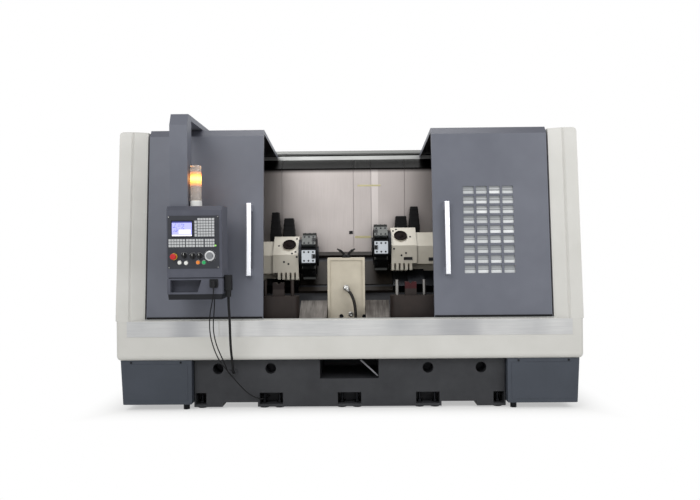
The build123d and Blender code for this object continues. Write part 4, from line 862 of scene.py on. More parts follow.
def start_round(name: str, size: Pair, place: Matrix = Matrix(), sides: int = 32) -> Piece:
    """Add a cylinder of a radius and height at its place, to be shaped.

    Args:
        name: the piece's name.
        size: its radius and its height.
        place: where it stands.
        sides: how many sides it has.

    Returns:
        The new piece.
    """
    bpy.ops.object.select_all(action="DESELECT")
    bpy.ops.mesh.primitive_cylinder_add(
        vertices=sides,
        radius=size[0],
        depth=size[1],
        location=place.translation,
        rotation=place.to_euler(),
    )
    piece = bpy.context.object
    piece.name = name
    return piece


FACING = 0.9


def top(middle: Vector, normal: Vector) -> bool:
    """Say whether a face looks along the piece's own Z."""
    return normal.z > FACING


def ends(middle: Vector, normal: Vector) -> bool:
    """Say whether a face looks either way along the piece's own Z."""
    return abs(normal.z) > FACING


def near_side(middle: Vector, normal: Vector) -> bool:
    """Say whether a face looks against the piece's own Y."""
    return normal.y < -FACING


@dataclass
class Shaping:
    """A piece that is held in edit mode and shaped with Blender's tools."""

    piece: Piece

    def __enter__(self) -> "Shaping":
        """Open the piece in edit mode, alone.

        Returns:
            This shaping, for the next step.
        """
        bpy.ops.object.select_all(action="DESELECT")
        self.piece.select_set(True)
        bpy.context.view_layer.objects.active = self.piece
        bpy.ops.object.mode_set(mode="EDIT")
        return self

    def __exit__(self, *_: object) -> None:
        """Close edit mode."""
        bpy.ops.object.mode_set(mode="OBJECT")

    def pick(self, test: FaceTest) -> "Shaping":
        """Select the faces whose middle and normal pass a test, and no others.

        Args:
            test: says whether a face is selected.

        Returns:
            This shaping, for the next step.
        """
        bpy.ops.mesh.select_mode(type="FACE")
        bpy.ops.mesh.select_all(action="DESELECT")
        shape = bmesh.from_edit_mesh(self.piece.data)
        for face in shape.faces:
            face.select_set(test(face.calc_center_median(), face.normal))
        shape.select_flush_mode()
        bmesh.update_edit_mesh(self.piece.data)
        return self

    def inset(self, rim: float, rise: float = 0.0) -> "Shaping":
        """Inset what is selected by a rim, and lift it along its normal."""
        bpy.ops.mesh.inset(thickness=rim, depth=rise)
        return self

    def push(self, height: float) -> "Shaping":
        """Extrude what is selected along its normal."""
        bpy.ops.mesh.extrude_region_shrink_fatten(TRANSFORM_OT_shrink_fatten={"value": height})
        return self

    def bore(self, rim: float) -> "Shaping":
        """Open a hole from end to end that leaves a wall of a given width.

        Args:
            rim: the wall's width.

        Returns:
            This shaping, for the next step.
        """
        self.pick(ends).inset(rim)
        bpy.ops.mesh.bridge_edge_loops()
        return self

    def soften(self, width: float, steps: int = 2) -> "Shaping":
        """Bevel every sharp edge.

        Args:
            width: the bevel's width.
            steps: how many segments it has.

        Returns:
            This shaping, for the next step.
        """
        bpy.ops.mesh.select_mode(type="EDGE")
        bpy.ops.mesh.select_all(action="DESELECT")
        bpy.ops.mesh.edges_select_sharp(sharpness=math.radians(35))
        bpy.ops.mesh.bevel(offset=width, segments=steps, affect="EDGES")
        return self


def spread(pattern: Piece, name: str, places: Sequence[Matrix]) -> Piece:
    """Copy a modelled piece to its places, each copy with its own mesh, and join the copies.

    Args:
        pattern: the piece as modelled once, which is used up.
        name: the joined piece's name.
        places: where each copy goes.

    Returns:
        The joined piece.
    """
    bpy.ops.object.select_all(action="DESELECT")
    for place in places:
        copied = pattern.copy()
        copied.data = pattern.data.copy()
        copied.data.transform(place)
        bpy.context.scene.collection.objects.link(copied)
        copied.select_set(True)
        bpy.context.view_layer.objects.active = copied
    if len(places) > 1:
        bpy.ops.object.join()
    made = bpy.context.view_layer.objects.active
    bpy.data.objects.remove(pattern)
    made.name = name
    return made


def settle(piece: Piece, finish: Finish, body: str) -> Piece:
    """Finish a modelled piece: apply its place, close it, smooth it, dress it and let it ride.

    Args:
        piece: the modelled piece.
        finish: what its surface is.
        body: the body that it moves with.

    Returns:
        The same piece.
    """
    bpy.ops.object.select_all(action="DESELECT")
    piece.select_set(True)
    bpy.context.view_layer.objects.active = piece
    bpy.ops.object.transform_apply(location=True, rotation=True, scale=True)
    bpy.ops.object.mode_set(mode="EDIT")
    bpy.ops.mesh.select_all(action="SELECT")
    bpy.ops.mesh.remove_doubles(threshold=0.00001)
    bpy.ops.mesh.normals_make_consistent(inside=False)
    bpy.ops.object.mode_set(mode="OBJECT")
    bpy.ops.object.shade_smooth_by_angle(angle=math.radians(30))
    finish.dress(piece)
    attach(piece, body)
    return piece


def screw_pattern(radius: float, proud: float, sunk: float = 0.002) -> Piece:
    """Model a socket head screw on the origin, with its head along Z.

    Args:
        radius: the head's radius.
        proud: how far the head stands out.
        sunk: how far the screw goes in.

    Returns:
        The pattern, to be spread.
    """
    middle = Matrix.Translation((0, 0, (proud - sunk) / 2))
    pattern = start_round("screw", (radius, proud + sunk), middle, 18)
    with Shaping(pattern) as shape:
        shape.pick(top).inset(radius * 0.42).push(-proud * 0.7)
        shape.soften(radius * 0.09)
    bpy.ops.object.transform_apply(location=True, rotation=True, scale=True)
    return pattern


def ring_pattern(outer: float, inner: float, height: float, sides: int = 40) -> Piece:
    """Model a rounded ring that stands on the origin along Z.

    Args:
        outer: the ring's outer radius.
        inner: its inner radius.
        height: its height.
        sides: how many sides it has.

    Returns:
        The pattern, to be spread.
    """
    pattern = start_round("ring", (outer, height), Matrix.Translation((0, 0, height / 2)), sides)
    with Shaping(pattern) as shape:
        shape.bore(outer - inner)
        shape.soften(min(height, outer - inner) * 0.2)
    bpy.ops.object.transform_apply(location=True, rotation=True, scale=True)
    return pattern


SLANT: Point = (0.0, -math.sqrt(0.5), math.sqrt(0.5))
FRONT: Point = (0.0, -1.0, 0.0)
REAR: Point = (0.0, 1.0, 0.0)


@dataclass
class TurretDress:
    """Block screws, tool clamps, oil cap, housing screws and motor bands of one turret."""

    side: str
    axis: Pair
    block_x: float
    cap: Point
    slant_screws: tuple[Point, ...]
    front_screws: tuple[Point, ...]
    motors: tuple[tuple[float, float, float], ...]
    motor_foot: Pair
    station_count: int = 8
    block_radius: float = 0.210
    block_screw: Pair = (0.0085, 0.0025)
    screw_pitch: Pair = (0.040, 0.039)
    clamp_size: Point = (0.032, 0.040, 0.008)
    clamp_shift: float = 0.044
    clamp_sunk: float = 0.0015
    cap_size: Pair = (0.0605, 0.010)
    cap_lift: float = 0.011
    housing_screw: Pair = (0.009, 0.003)
    motor_depth: float = 0.112
    motor_taper: float = math.tan(math.radians(5))
    band_shares: tuple[float, ...] = (0.10, 0.36, 0.62, 0.86)
    band_height: float = 0.007
    band_wall: float = 0.012
    band_proud: float = 0.005

    def build(self) -> list[Piece]:
        """Model the turret's pieces, each on the body that carries it.

        Returns:
            The finished pieces.
        """
        return [
            self.block_screws(),
            self.tool_clamps(),
            self.cap_dish(),
            self.housing_screws(),
            self.motor_bands(),
        ]

    def stations(self) -> list[tuple[Vector, Vector]]:
        """Find the directions out of the disc and round it, for each station.

        Returns:
            One pair of directions for each station.
        """
        angles = [2 * math.pi * station / self.station_count for station in range(self.station_count)]
        turns = [(math.cos(angle), math.sin(angle)) for angle in angles]
        return [(Vector((0, over, rise)), Vector((0, -rise, over))) for over, rise in turns]

    def block_screws(self) -> Piece:
        """Model the six clamp screws on each tool block.

        Returns:
            The finished piece.
        """
        places = []
        for out, along in self.stations():
            seat = Vector((self.block_x, *self.axis)) + out * self.block_radius
            for row in (-1, 1):
                for column in (-1, 0, 1):
                    shift = Vector((column * self.screw_pitch[0], 0, 0))
                    places.append(stand(seat + along * (row * self.screw_pitch[1]) + shift, out))
        piece = spread(screw_pattern(*self.block_screw), f"{self.side}_block_screws", places)
        return settle(piece, BLACK_STEEL, f"{self.side}_turret")

    def tool_clamps(self) -> Piece:
        """Model the black clamp and tool seat at each block's inner end.

        Returns:
            The finished piece.
        """
        clamp = start_box("tool_clamp", self.clamp_size)
        with Shaping(clamp) as shape:
            shape.pick(top).inset(0.005).push(-0.003).inset(0.004).push(0.002)
            shape.soften(0.0008)
        inward = self.clamp_shift if self.side == "left" else -self.clamp_shift
        middle = Vector((self.block_x + inward, *self.axis))
        radius = self.block_radius - self.clamp_sunk
        places = [stand(middle + out * radius, out) for out, _ in self.stations()]
        piece = spread(clamp, f"{self.side}_tool_clamps", places)
        return settle(piece, BLACK, f"{self.side}_turret")

    def cap_dish(self) -> Piece:
        """Model the dished oil cap over the housing's boss.

        Returns:
            The finished piece.
        """
        middle = Vector(self.cap) + Vector(SLANT) * self.cap_lift
        piece = start_round(f"{self.side}_oil_cap", self.cap_size, stand(middle, SLANT), 48)
        with Shaping(piece) as shape:
            shape.pick(top).inset(0.009).push(-0.006).inset(0.016, 0.001).inset(0.012).push(0.003)
            shape.soften(0.0012)
        return settle(piece, CAP_STEEL, f"{self.side}_cross_slide")

    def housing_screws(self) -> Piece:
        """Model the screws and plugs on the housing's faces.

        Returns:
            The finished piece.
        """
        places = [stand(place, SLANT) for place in self.slant_screws]
        places += [stand(place, FRONT) for place in self.front_screws]
        piece = spread(screw_pattern(*self.housing_screw), f"{self.side}_housing_screws", places)
        return settle(piece, BLACK_STEEL, f"{self.side}_cross_slide")

    def motor_bands(self) -> Piece:
        """Model the raised bands round the two motors.

        Returns:
            The finished piece.
        """
        made = []
        for motor_x, width, height in self.motors:
            for share in self.band_shares:
                grow = self.band_proud - 2 * share * height * self.motor_taper
                size = (width + grow, self.motor_depth + grow, self.band_height)
                at = (motor_x, self.motor_foot[0], self.motor_foot[1] + share * height)
                band = start_box("motor_band", size, Matrix.Translation(at))
                with Shaping(band) as shape:
                    shape.bore(self.band_wall)
                    shape.soften(0.002)
                made.append(band)
        bpy.ops.object.select_all(action="DESELECT")
        for band in made:
            band.select_set(True)
        bpy.context.view_layer.objects.active = made[0]
        bpy.ops.object.join()
        made[0].name = f"{self.side}_motor_bands"
        return settle(made[0], MOTOR, f"{self.side}_cross_slide")


TURRETS = (
    TurretDress(
        "left",
        (-0.0602, 1.2592),
        -0.359,
        (-0.5425, -0.1175, 1.3584),
        (
            (-0.6382, -0.1207, 1.3551),
            (-0.4784, -0.0576, 1.4183),
            (-0.5132, -0.1897, 1.2862),
            (-0.4827, -0.1765, 1.2993),
        ),
        ((-0.5852, -0.2003, 1.2103), (-0.5447, -0.2003, 1.1918), (-0.4700, -0.2003, 1.2543)),
        ((-0.680, 0.104, 0.228), (-0.556, 0.116, 0.172)),
        (0.0253, 1.4412),
    ),
    TurretDress(
        "right",
        (0.0148, 1.3341),
        0.293,
        (0.4765, -0.0425, 1.4333),
        ((0.5645, -0.0470, 1.4288), (0.4110, 0.0093, 1.4852), (0.4402, 0.0233, 1.4992)),
        ((0.4793, -0.1254, 1.2599), (0.5204, -0.1254, 1.2805), (0.4116, -0.1254, 1.3207)),
        ((0.614, 0.104, 0.200), (0.490, 0.116, 0.110)),
        (0.1003, 1.5161),
    ),
)


@dataclass
class HousingFittings:
    """The cable slot and the rear clamp of the right turret housing."""

    slot_middle: Point = (0.5385, -0.1254, 1.2303)
    slot_size: Point = (0.080, 0.027, 0.010)
    clamp_middle: Point = (0.7500, -0.1053, 1.2234)
    clamp_size: Point = (0.046, 0.030, 0.024)

    def build(self) -> list[Piece]:
        """Model the two black fittings.

        Returns:
            The finished pieces.
        """
        slot = start_box("right_cable_slot", self.slot_size, stand(self.slot_middle, FRONT))
        with Shaping(slot) as shape:
            shape.pick(top).inset(0.004).push(-0.004)
            shape.soften(0.001)
        clamp = start_box("right_hose_clamp", self.clamp_size, stand(self.clamp_middle, FRONT))
        with Shaping(clamp) as shape:
            shape.pick(top).inset(0.006, 0.004).push(0.004)
            shape.soften(0.002)
        return [
            settle(slot, BLACK, "right_cross_slide"),
            settle(clamp, BLACK, "right_cross_slide"),
        ]


@dataclass
class CentreDress:
    """Bolts, fitting, hose elbow and coolant nozzles on the centre unit."""

    bolts: tuple[Point, ...] = ((-0.066, -0.410, 0.741), (0.130, -0.424, 0.739))
    bolt_size: Pair = (0.017, 0.012)
    fitting: Point = (0.0167, -0.410, 0.757)
    fitting_size: Pair = (0.024, 0.018)
    elbow: Point = (-0.022, -0.418, 0.985)
    elbow_size: Pair = (0.027, 0.020)
    knuckle: Point = (-0.021, -0.468, 0.985)
    knuckle_size: Pair = (0.0195, 0.040)
    nut: Point = (-0.009, -0.472, 0.974)
    nut_size: Pair = (0.0200, 0.020)
    nut_ahead: Point = (0.63, -0.14, -0.77)
    nozzle_foot: Point = (-0.022, -0.330, 1.246)
    nozzle_half: float = 0.017
    bead_size: Pair = (0.0112, 0.020)
    bead_lift: float = 0.006
    foot_scale: float = 1.7
    tip_scale: Point = (0.6, 0.6, 1.3)
    nozzle_line: tuple[Point, ...] = (
        (0.000, 0.000, 0.012),
        (0.004, -0.004, 0.028),
        (0.013, -0.010, 0.043),
        (0.026, -0.017, 0.056),
        (0.041, -0.024, 0.066),
    )

    def build(self) -> list[Piece]:
        """Model the pieces on the centre unit.

        Returns:
            The finished pieces.
        """
        places = [stand(place, FRONT) for place in self.bolts]
        bolts = spread(screw_pattern(*self.bolt_size), "centre_bolts", places)
        fitting = start_round("centre_fitting", self.fitting_size, stand(self.fitting, FRONT), 6)
        with Shaping(fitting) as shape:
            shape.pick(top).inset(0.006).push(0.010).inset(0.004).push(-0.006)
            shape.soften(0.0015)
        elbow = start_round("chrome_elbow", self.elbow_size, stand(self.elbow, FRONT))
        with Shaping(elbow) as shape:
            shape.pick(top).inset(0.006).push(0.010).inset(0.004).push(0.022)
            shape.soften(0.0012)
        lying = stand(self.knuckle, (1, 0, 0), (0, 1, 0))
        knuckle = start_round("elbow_knuckle", self.knuckle_size, lying, 28)
        with Shaping(knuckle) as shape:
            shape.pick(ends).inset(0.007, 0.005)
            shape.soften(0.006, 4)
        nut = start_round("hose_nut", self.nut_size, stand(self.nut, self.nut_ahead, (0, 1, 0)), 6)
        with Shaping(nut) as shape:
            shape.pick(top).inset(0.003).push(0.007)
            shape.soften(0.0012)
        plated = (fitting, elbow, knuckle, nut)
        return [
            settle(bolts, BLACK_STEEL, "frame"),
            *(settle(piece, CHROME, "frame") for piece in plated),
            self.nozzles(),
        ]

    def nozzles(self) -> Piece:
        """Model the two jointed coolant nozzles on the unit's top.

        Returns:
            The finished piece.
        """
        bead = start_round("nozzle_bead", self.bead_size, sides=20)
        with Shaping(bead) as shape:
            shape.pick(top).inset(0.0022, 0.003)
            shape.soften(0.0014)
        places = []
        for sign in (-1, 1):
            foot = Vector(self.nozzle_foot) + Vector((sign * self.nozzle_half, 0, 0))
            line = [foot + Vector((sign * x, y, z)) for x, y, z in self.nozzle_line]
            seat = foot + Vector((0, 0, self.bead_lift))
            places.append(stand(seat, (0, 0, 1)) @ Matrix.Scale(self.foot_scale, 4))
            for before, after in zip(line, line[1:]):
                places.append(stand((before + after) / 2, after - before, (0, 1, 0)))
            tip = line[-1] + (line[-1] - line[-2]) * 0.45
            slim = Matrix.Diagonal((*self.tip_scale, 1.0))
            places.append(stand(tip, line[-1] - line[-2], (0, 1, 0)) @ slim)
        piece = spread(bead, "coolant_nozzles", places)
        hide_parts("coolant_lines")
        return settle(piece, BLACK, "frame")


@dataclass
class PendantDress:
    """Collars, marks, lamp and screws on the control pendant's face."""

    face_y: float = -1.114
    stop: Pair = (-1.332, 1.279)
    stop_collar: Point = (0.0265, 0.0165, 0.003)
    buttons: tuple[Pair, ...] = ((-1.287, 1.233), (-1.237, 1.230), (-1.145, 1.233), (-1.100, 1.233))
    button_collar: Point = (0.0180, 0.0152, 0.0035)
    switches: tuple[Pair, ...] = ((-1.252, 1.287), (-1.187, 1.281), (-1.134, 1.284))
    dial: Pair = (-1.054, 1.283)
    mark_size: Point = (0.0045, 0.0011, 0.0008)
    dial_marks: float = 0.0445
    switch_marks: float = 0.0250
    led: Pair = (-1.0112, 1.3619)
    led_size: Pair = (0.0075, 0.005)
    led_lift: float = 0.0015
    plate_low: Pair = (-1.378, 1.187)
    plate_high: Pair = (-0.984, 1.592)
    screw_inset: float = 0.008
    plate_screw: Pair = (0.0042, 0.002)
    grip_top: float = 0.0263
    pointer_size: Point = (0.0024, 0.0150, 0.0010)
    pointer_shift: float = 0.0100
    lift: float = 0.0002

    def at(self, spot: Pair, proud: float = 0.0) -> Point:
        """Return a place on the face, or proud of it."""
        return (spot[0], self.face_y - proud, spot[1])

    def build(self) -> list[Piece]:
        """Model the pieces on the pendant.

        Returns:
            The finished pieces.
        """
        seat = [stand(self.at(self.stop), FRONT)]
        collar = spread(ring_pattern(*self.stop_collar), "stop_collar", seat)
        settle(collar, YELLOW, "frame")
        seats = [stand(self.at(spot), FRONT) for spot in self.buttons]
        collars = spread(ring_pattern(*self.button_collar), "button_collars", seats)
        settle(collars, CHROME, "frame")
        made = [collar, collars, self.marks(), self.lamp(), self.plate_screws()]
        return made + [self.pointer(number) for number in range(len(self.switches))]

    def marks(self) -> Piece:
        """Model the white scale marks round the dial and the switches.

        Returns:
            The finished piece.
        """
        pattern = start_box("scale_mark", self.mark_size)
        with Shaping(pattern) as shape:
            shape.soften(0.0002, 1)
        rows = [(self.dial, self.dial_marks, range(0, 360, 15))]
        rows += [(spot, self.switch_marks, range(30, 151, 20)) for spot in self.switches]
        places = []
        for spot, radius, angles in rows:
            for angle in angles:
                out = Vector((math.cos(math.radians(angle)), 0, math.sin(math.radians(angle))))
                places.append(stand(Vector(self.at(spot, self.lift)) + out * radius, FRONT, out))
        return settle(spread(pattern, "scale_marks", places), WHITE, "frame")

    def lamp(self) -> Piece:
        """Model the small green lamp beside the key rows.

        Returns:
            The finished piece.
        """
        place = stand(self.at(self.led, self.led_lift), FRONT)
        piece = start_round("ready_lamp", self.led_size, place, 24)
        with Shaping(piece) as shape:
            shape.pick(top).inset(0.0018, 0.0015).inset(0.0018, 0.0008)
            shape.soften(0.0004)
        return settle(piece, LED_GREEN, "frame")

    def plate_screws(self) -> Piece:
        """Model the four screws at the face plate's corners.

        Returns:
            The finished piece.
        """
        gap = self.screw_inset
        corners = [
            (x, z)
            for x in (self.plate_low[0] + gap, self.plate_high[0] - gap)
            for z in (self.plate_low[1] + gap, self.plate_high[1] - gap)
        ]
        places = [stand(self.at(corner), FRONT) for corner in corners]
        piece = spread(screw_pattern(*self.plate_screw), "face_screws", places)
        return settle(piece, CHROME, "frame")

    def pointer(self, number: int) -> Piece:
        """Model the white line on one switch's grip.

        Args:
            number: which switch, counted from 0.

        Returns:
            The finished piece.
        """
        across, up = self.switches[number]
        place = self.at((across, up + self.pointer_shift), self.grip_top + self.lift)
        piece = start_box(f"switch_{number + 1}_pointer", self.pointer_size, stand(place, FRONT))
        with Shaping(piece) as shape:
            shape.pick(top).inset(0.0004, 0.0003)
            shape.soften(0.0002, 1)
        return settle(piece, WHITE, f"switch_{number + 1}")


@dataclass
class WallDress:
    """Tape strips and a small sensor on the wall behind the work space."""

    tapes: tuple[tuple[Point, float, float], ...] = (
        ((0.1973, 0.286, 1.9362), 0.224, 0.016),
        ((0.1343, 0.286, 1.4357), 0.156, 0.022),
    )
    tape_thickness: float = 0.0016
    sensor: Point = (0.0179, 0.286, 1.4806)
    sensor_size: Point = (0.036, 0.030, 0.024)

    def build(self) -> list[Piece]:
        """Model the pieces on the wall.

        Returns:
            The finished pieces.
        """
        made = []
        for number, (place, width, height) in enumerate(self.tapes):
            size = (width, height, self.tape_thickness)
            strip = start_box(f"wall_tape_{number + 1}", size, stand(place, FRONT))
            with Shaping(strip) as shape:
                bpy.ops.mesh.subdivide(number_cuts=3)
                shape.soften(0.0004, 1)
            made.append(settle(strip, TAPE, "frame"))
        sensor = start_box("wall_sensor", self.sensor_size, stand(self.sensor, FRONT))
        with Shaping(sensor) as shape:
            shape.pick(top).inset(0.006).push(-0.005)
            shape.soften(0.0015)
        made.append(settle(sensor, BLACK, "frame"))
        return made


@dataclass
class DoorWipersAndShadowLines:
    """Black rubber wipers along the bottom edges of the two doors, which also serve as painted shade for the
    shadow line under them.
    """

    height: float = 0.017
    thickness: float = 0.008
    proud: float = 0.003
    end_gaps: float = 0.008
    lift: float = 0.001

    def build(self) -> list[Piece]:
        """Model one wiper for each door, carried by it; its dark strip also paints the shadow line under the
        door.

        Returns:
            The finished pieces.
        """
        made = []
        for side in ("left", "right"):
            low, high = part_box(f"{side}_door")
            size = (high[0] - low[0] - self.end_gaps, self.thickness, self.height)
            middle = (
                (low[0] + high[0]) / 2,
                low[1] - self.proud + self.thickness / 2,
                low[2] + self.lift + self.height / 2,
            )
            # Painted shade: the dark wiper stands for the shadow line under the door as well
            wiper_and_shadow = start_box(f"{side}_door_wiper_and_shadow", size, Matrix.Translation(middle))
            with Shaping(wiper_and_shadow) as shape:
                shape.pick(near_side).inset(0.003).push(-0.0015)
                shape.soften(0.0008)
            made.append(settle(wiper_and_shadow, RUBBER, f"{side}_hood"))
        return made


@dataclass
class SheetFasteners:
    """Screws on the base boxes, and hinges, locks and louvres on the rear cabinet."""

    box_screw_x: tuple[float, ...] = (1.390, 1.800)
    box_screw_height: float = 0.400
    box_screw: Pair = (0.008, 0.003)
    door_count: int = 3
    door_margin: float = 0.046
    hinge_size: Pair = (0.0085, 0.090)
    hinge_shift: Pair = (-0.009, -0.0087)
    hinge_shares: tuple[float, ...] = (0.14, 0.5, 0.86)
    lock_size: Pair = (0.011, 0.009)
    lock_shift: Pair = (0.010, -0.005)
    lock_shares: tuple[float, ...] = (0.22, 0.78)
    louvre_size: Point = (0.260, 0.020, 0.012)
    louvre_feet: Pair = (0.45, 1.55)
    louvre_pitch: float = 0.034
    louvre_count: int = 10

    def build(self) -> list[Piece]:
        """Return the fasteners and vents of the sheet metal."""
        return [self.box_screws(), *self.cabinet_hardware(), *self.side_louvres()]

    def box_screws(self) -> Piece:
        """Model the screws along the base boxes' fronts.

        Returns:
            The finished piece.
        """
        low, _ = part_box("left_base_box")
        places = []
        for sign in (-1, 1):
            for across in self.box_screw_x:
                places.append(stand((sign * across, low[1], self.box_screw_height), FRONT))
        piece = spread(screw_pattern(*self.box_screw), "base_box_screws", places)
        return settle(piece, BLACK_STEEL, "frame")

    def cabinet_hardware(self) -> list[Piece]:
        """Model the hinges and locks in the gaps between the rear cabinet's doors.

        Returns:
            The finished pieces.
        """
        low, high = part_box("rear_cabinet")
        tall = high[2] - low[2]
        pitch = (high[0] - low[0] - self.door_margin) / self.door_count
        hinge_x = [low[0] + self.door_margin / 2 + step * pitch for step in range(self.door_count)]
        hinge = start_round("cabinet_hinge", self.hinge_size, sides=20)
        with Shaping(hinge) as shape:
            shape.pick(ends).inset(0.003, 0.002)
            shape.soften(0.0008)
        places = []
        for across in hinge_x:
            for share in self.hinge_shares:
                place = (across + self.hinge_shift[0], high[1] + self.hinge_shift[1], low[2] + share * tall)
                places.append(Matrix.Translation(place))
        hinges = spread(hinge, "cabinet_hinges", places)
        lock = start_round("cabinet_lock", self.lock_size, sides=28)
        with Shaping(lock) as shape:
            shape.pick(top).inset(0.002).push(-0.001).inset(0.004).push(-0.002)
            shape.soften(0.0005)
        places = []
        for across in hinge_x:
            for share in self.lock_shares:
                lock_x = across + pitch + self.lock_shift[0]
                places.append(stand((lock_x, high[1] + self.lock_shift[1], low[2] + share * tall), REAR))
        locks = spread(lock, "cabinet_locks", places)
        return [settle(piece, CHROME, "frame") for piece in (hinges, locks)]

    def side_louvres(self) -> list[Piece]:
        """Model the louvred vents on the rear cabinet's ends.

        Returns:
            The finished pieces.
        """
        low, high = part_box("rear_cabinet")
        middle_y = (low[1] + high[1]) / 2
        made = []
        for sign, name in ((-1, "left"), (1, "right")):
            blade = start_box("louvre", self.louvre_size)
            with Shaping(blade) as shape:
                shape.pick(top).inset(0.004, 0.004)
                shape.soften(0.0015)
            wall_x = low[0] if sign < 0 else high[0]
            places = []
            for foot in self.louvre_feet:
                for step in range(self.louvre_count):
                    place = (wall_x, middle_y, foot + self.louvre_pitch * step)
                    places.append(stand(place, (sign, 0, 0), (0, sign, 0)))
            vent = spread(blade, f"{name}_cabinet_louvres", places)
            made.append(settle(vent, CREAM, "frame"))
        return made


@dataclass(frozen=True)
class PhotoCamera:
    """The camera that took the photograph, as fitted to the object's edges."""

    place: Point = (0.06812, -6.24755, 1.34509)
    yaw: float = -0.013
    pitch: float = -0.00167
    roll: float = -0.00933
    focal_px: float = 671.26
    width_px: float = 700.0
    shift_px: Pair = (-2.43, -2.42)
    sensor_mm: float = 36.0

    def build(self) -> Piece:
        """Add the camera and make it the scene's own.

        Returns:
            The camera object.
        """
        ahead = Vector(
            (
                math.sin(self.yaw) * math.cos(self.pitch),
                math.cos(self.yaw) * math.cos(self.pitch),
                math.sin(self.pitch),
            )
        )
        level = Vector((math.cos(self.yaw), -math.sin(self.yaw), 0))
        upright = level.cross(ahead)
        right = level * math.cos(self.roll) + upright * math.sin(self.roll)
        up = upright * math.cos(self.roll) - level * math.sin(self.roll)
        lens = bpy.data.cameras.new("photo_camera")
        lens.sensor_width = self.sensor_mm
        lens.lens = self.sensor_mm * self.focal_px / self.width_px
        lens.shift_x = -self.shift_px[0] / self.width_px
        lens.shift_y = self.shift_px[1] / self.width_px
        lens.clip_end = 200
        camera = bpy.data.objects.new("photo_camera", lens)
        turn = Matrix((right, up, -ahead)).transposed().to_4x4()
        camera.matrix_world = Matrix.Translation(self.place) @ turn
        bpy.context.scene.collection.objects.link(camera)
        bpy.context.scene.camera = camera
        return camera


@dataclass
class Cord:
    """A free cord or hose on one smooth line."""

    name: str
    node: str
    route: tuple[Point, ...]
    diameter: float
    length: float
    ends: tuple[str, ...] = ()
    finish: Finish = RUBBER

    def build(self, nodes: dict[str, Piece]) -> Piece:
        """Lay the cord on its route, dress it, hide the CAD node that it stands for and let it ride on the
        frame.

        Args:
            nodes: the frame's CAD nodes; not used.

        Returns:
            The cord's curve object.
        """
        line = bpy.data.curves.new(self.name, "CURVE")
        line.dimensions = "3D"
        line.resolution_u = 10
        line.bevel_depth = self.diameter / 2
        line.bevel_resolution = 4
        line.use_fill_caps = True
        spline = line.splines.new("NURBS")
        spline.points.add(len(self.route) - 1)
        for point, place in zip(spline.points, self.route):
            point.co = (*place, 1.0)
        spline.order_u = 3
        spline.use_endpoint_u = True
        piece = bpy.data.objects.new(self.name, line)
        bpy.context.scene.collection.objects.link(piece)
        self.finish.dress(piece)
        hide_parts(self.node)
        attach(piece, "frame")
        return piece


PLUG_ROUTE = (
    (-1.027, -1.132, 1.036),
    (-1.027, -1.132, 0.990),
    (-1.038, -1.131, 0.925),
    (-1.055, -1.126, 0.850),
    (-1.066, -1.105, 0.762),
    (-1.070, -1.065, 0.674),
    (-1.066, -1.010, 0.594),
    (-1.058, -0.948, 0.522),
    (-1.046, -0.888, 0.458),
    (-1.022, -0.842, 0.398),
    (-0.984, -0.806, 0.336),
    (-0.940, -0.772, 0.270),
    (-0.893, -0.742, 0.204),
    (-0.846, -0.718, 0.148),
    (-0.796, -0.700, 0.108),
    (-0.748, -0.682, 0.087),
    (-0.710, -0.650, 0.078),
    (-0.692, -0.608, 0.076),
    (-0.688, -0.558, 0.077),
    (-0.688, -0.510, 0.077),
)
TRAY_ROUTE = (
    (-1.035, -1.060, 0.947),
    (-1.035, -1.060, 0.900),
    (-1.040, -1.058, 0.838),
    (-1.048, -1.050, 0.766),
    (-1.052, -1.028, 0.694),
    (-1.049, -0.990, 0.624),
    (-1.041, -0.942, 0.556),
    (-1.029, -0.886, 0.490),
    (-1.013, -0.832, 0.424),
    (-1.001, -0.786, 0.362),
    (-0.995, -0.748, 0.318),
    (-0.992, -0.716, 0.300),
    (-0.992, -0.686, 0.300),
)
UNIT_ROUTE = (
    (-0.934, -1.015, 0.961),
    (-0.934, -1.015, 0.890),
    (-0.928, -1.012, 0.798),
    (-0.929, -0.994, 0.700),
    (-0.934, -0.956, 0.606),
    (-0.939, -0.904, 0.516),
    (-0.942, -0.846, 0.434),
    (-0.946, -0.790, 0.358),
    (-0.956, -0.732, 0.306),
    (-0.956, -0.686, 0.306),
)
HOSE_ROUTE = (
    (-0.004, -0.474, 0.968),
    (0.014, -0.478, 0.946),
    (0.036, -0.479, 0.902),
    (0.051, -0.478, 0.844),
    (0.057, -0.477, 0.775),
    (0.057, -0.476, 0.700),
    (0.054, -0.476, 0.625),
    (0.052, -0.476, 0.560),
)
CORDS = (
    Cord("coolant_hose", "coolant_lines", HOSE_ROUTE, 0.026, 0.425, (), HOSE),
    Cord("plug_lead", "plug_cord", PLUG_ROUTE, 0.009, 1.380, ("cord_plug",)),
    Cord("tray_lead", "tray_cord", TRAY_ROUTE, 0.009, 0.797),
    Cord("hand_unit_lead", "hand_unit_cord", UNIT_ROUTE, 0.020, 0.785),
)


@dataclass(frozen=True)
class Softbox:
    """One soft studio lamp."""

    name: str
    place: Point
    target: Point
    size: Pair
    power: float

    def build(self) -> None:
        """Add the lamp and aim it."""
        lamp = bpy.data.lights.new(self.name, "AREA")
        lamp.shape = "RECTANGLE"
        lamp.size, lamp.size_y = self.size
        lamp.energy = self.power
        made = bpy.data.objects.new(self.name, lamp)
        aim = Vector(self.target) - Vector(self.place)
        made.matrix_world = Matrix.Translation(self.place) @ aim.to_track_quat("-Z", "Y").to_matrix().to_4x4()
        bpy.context.scene.collection.objects.link(made)


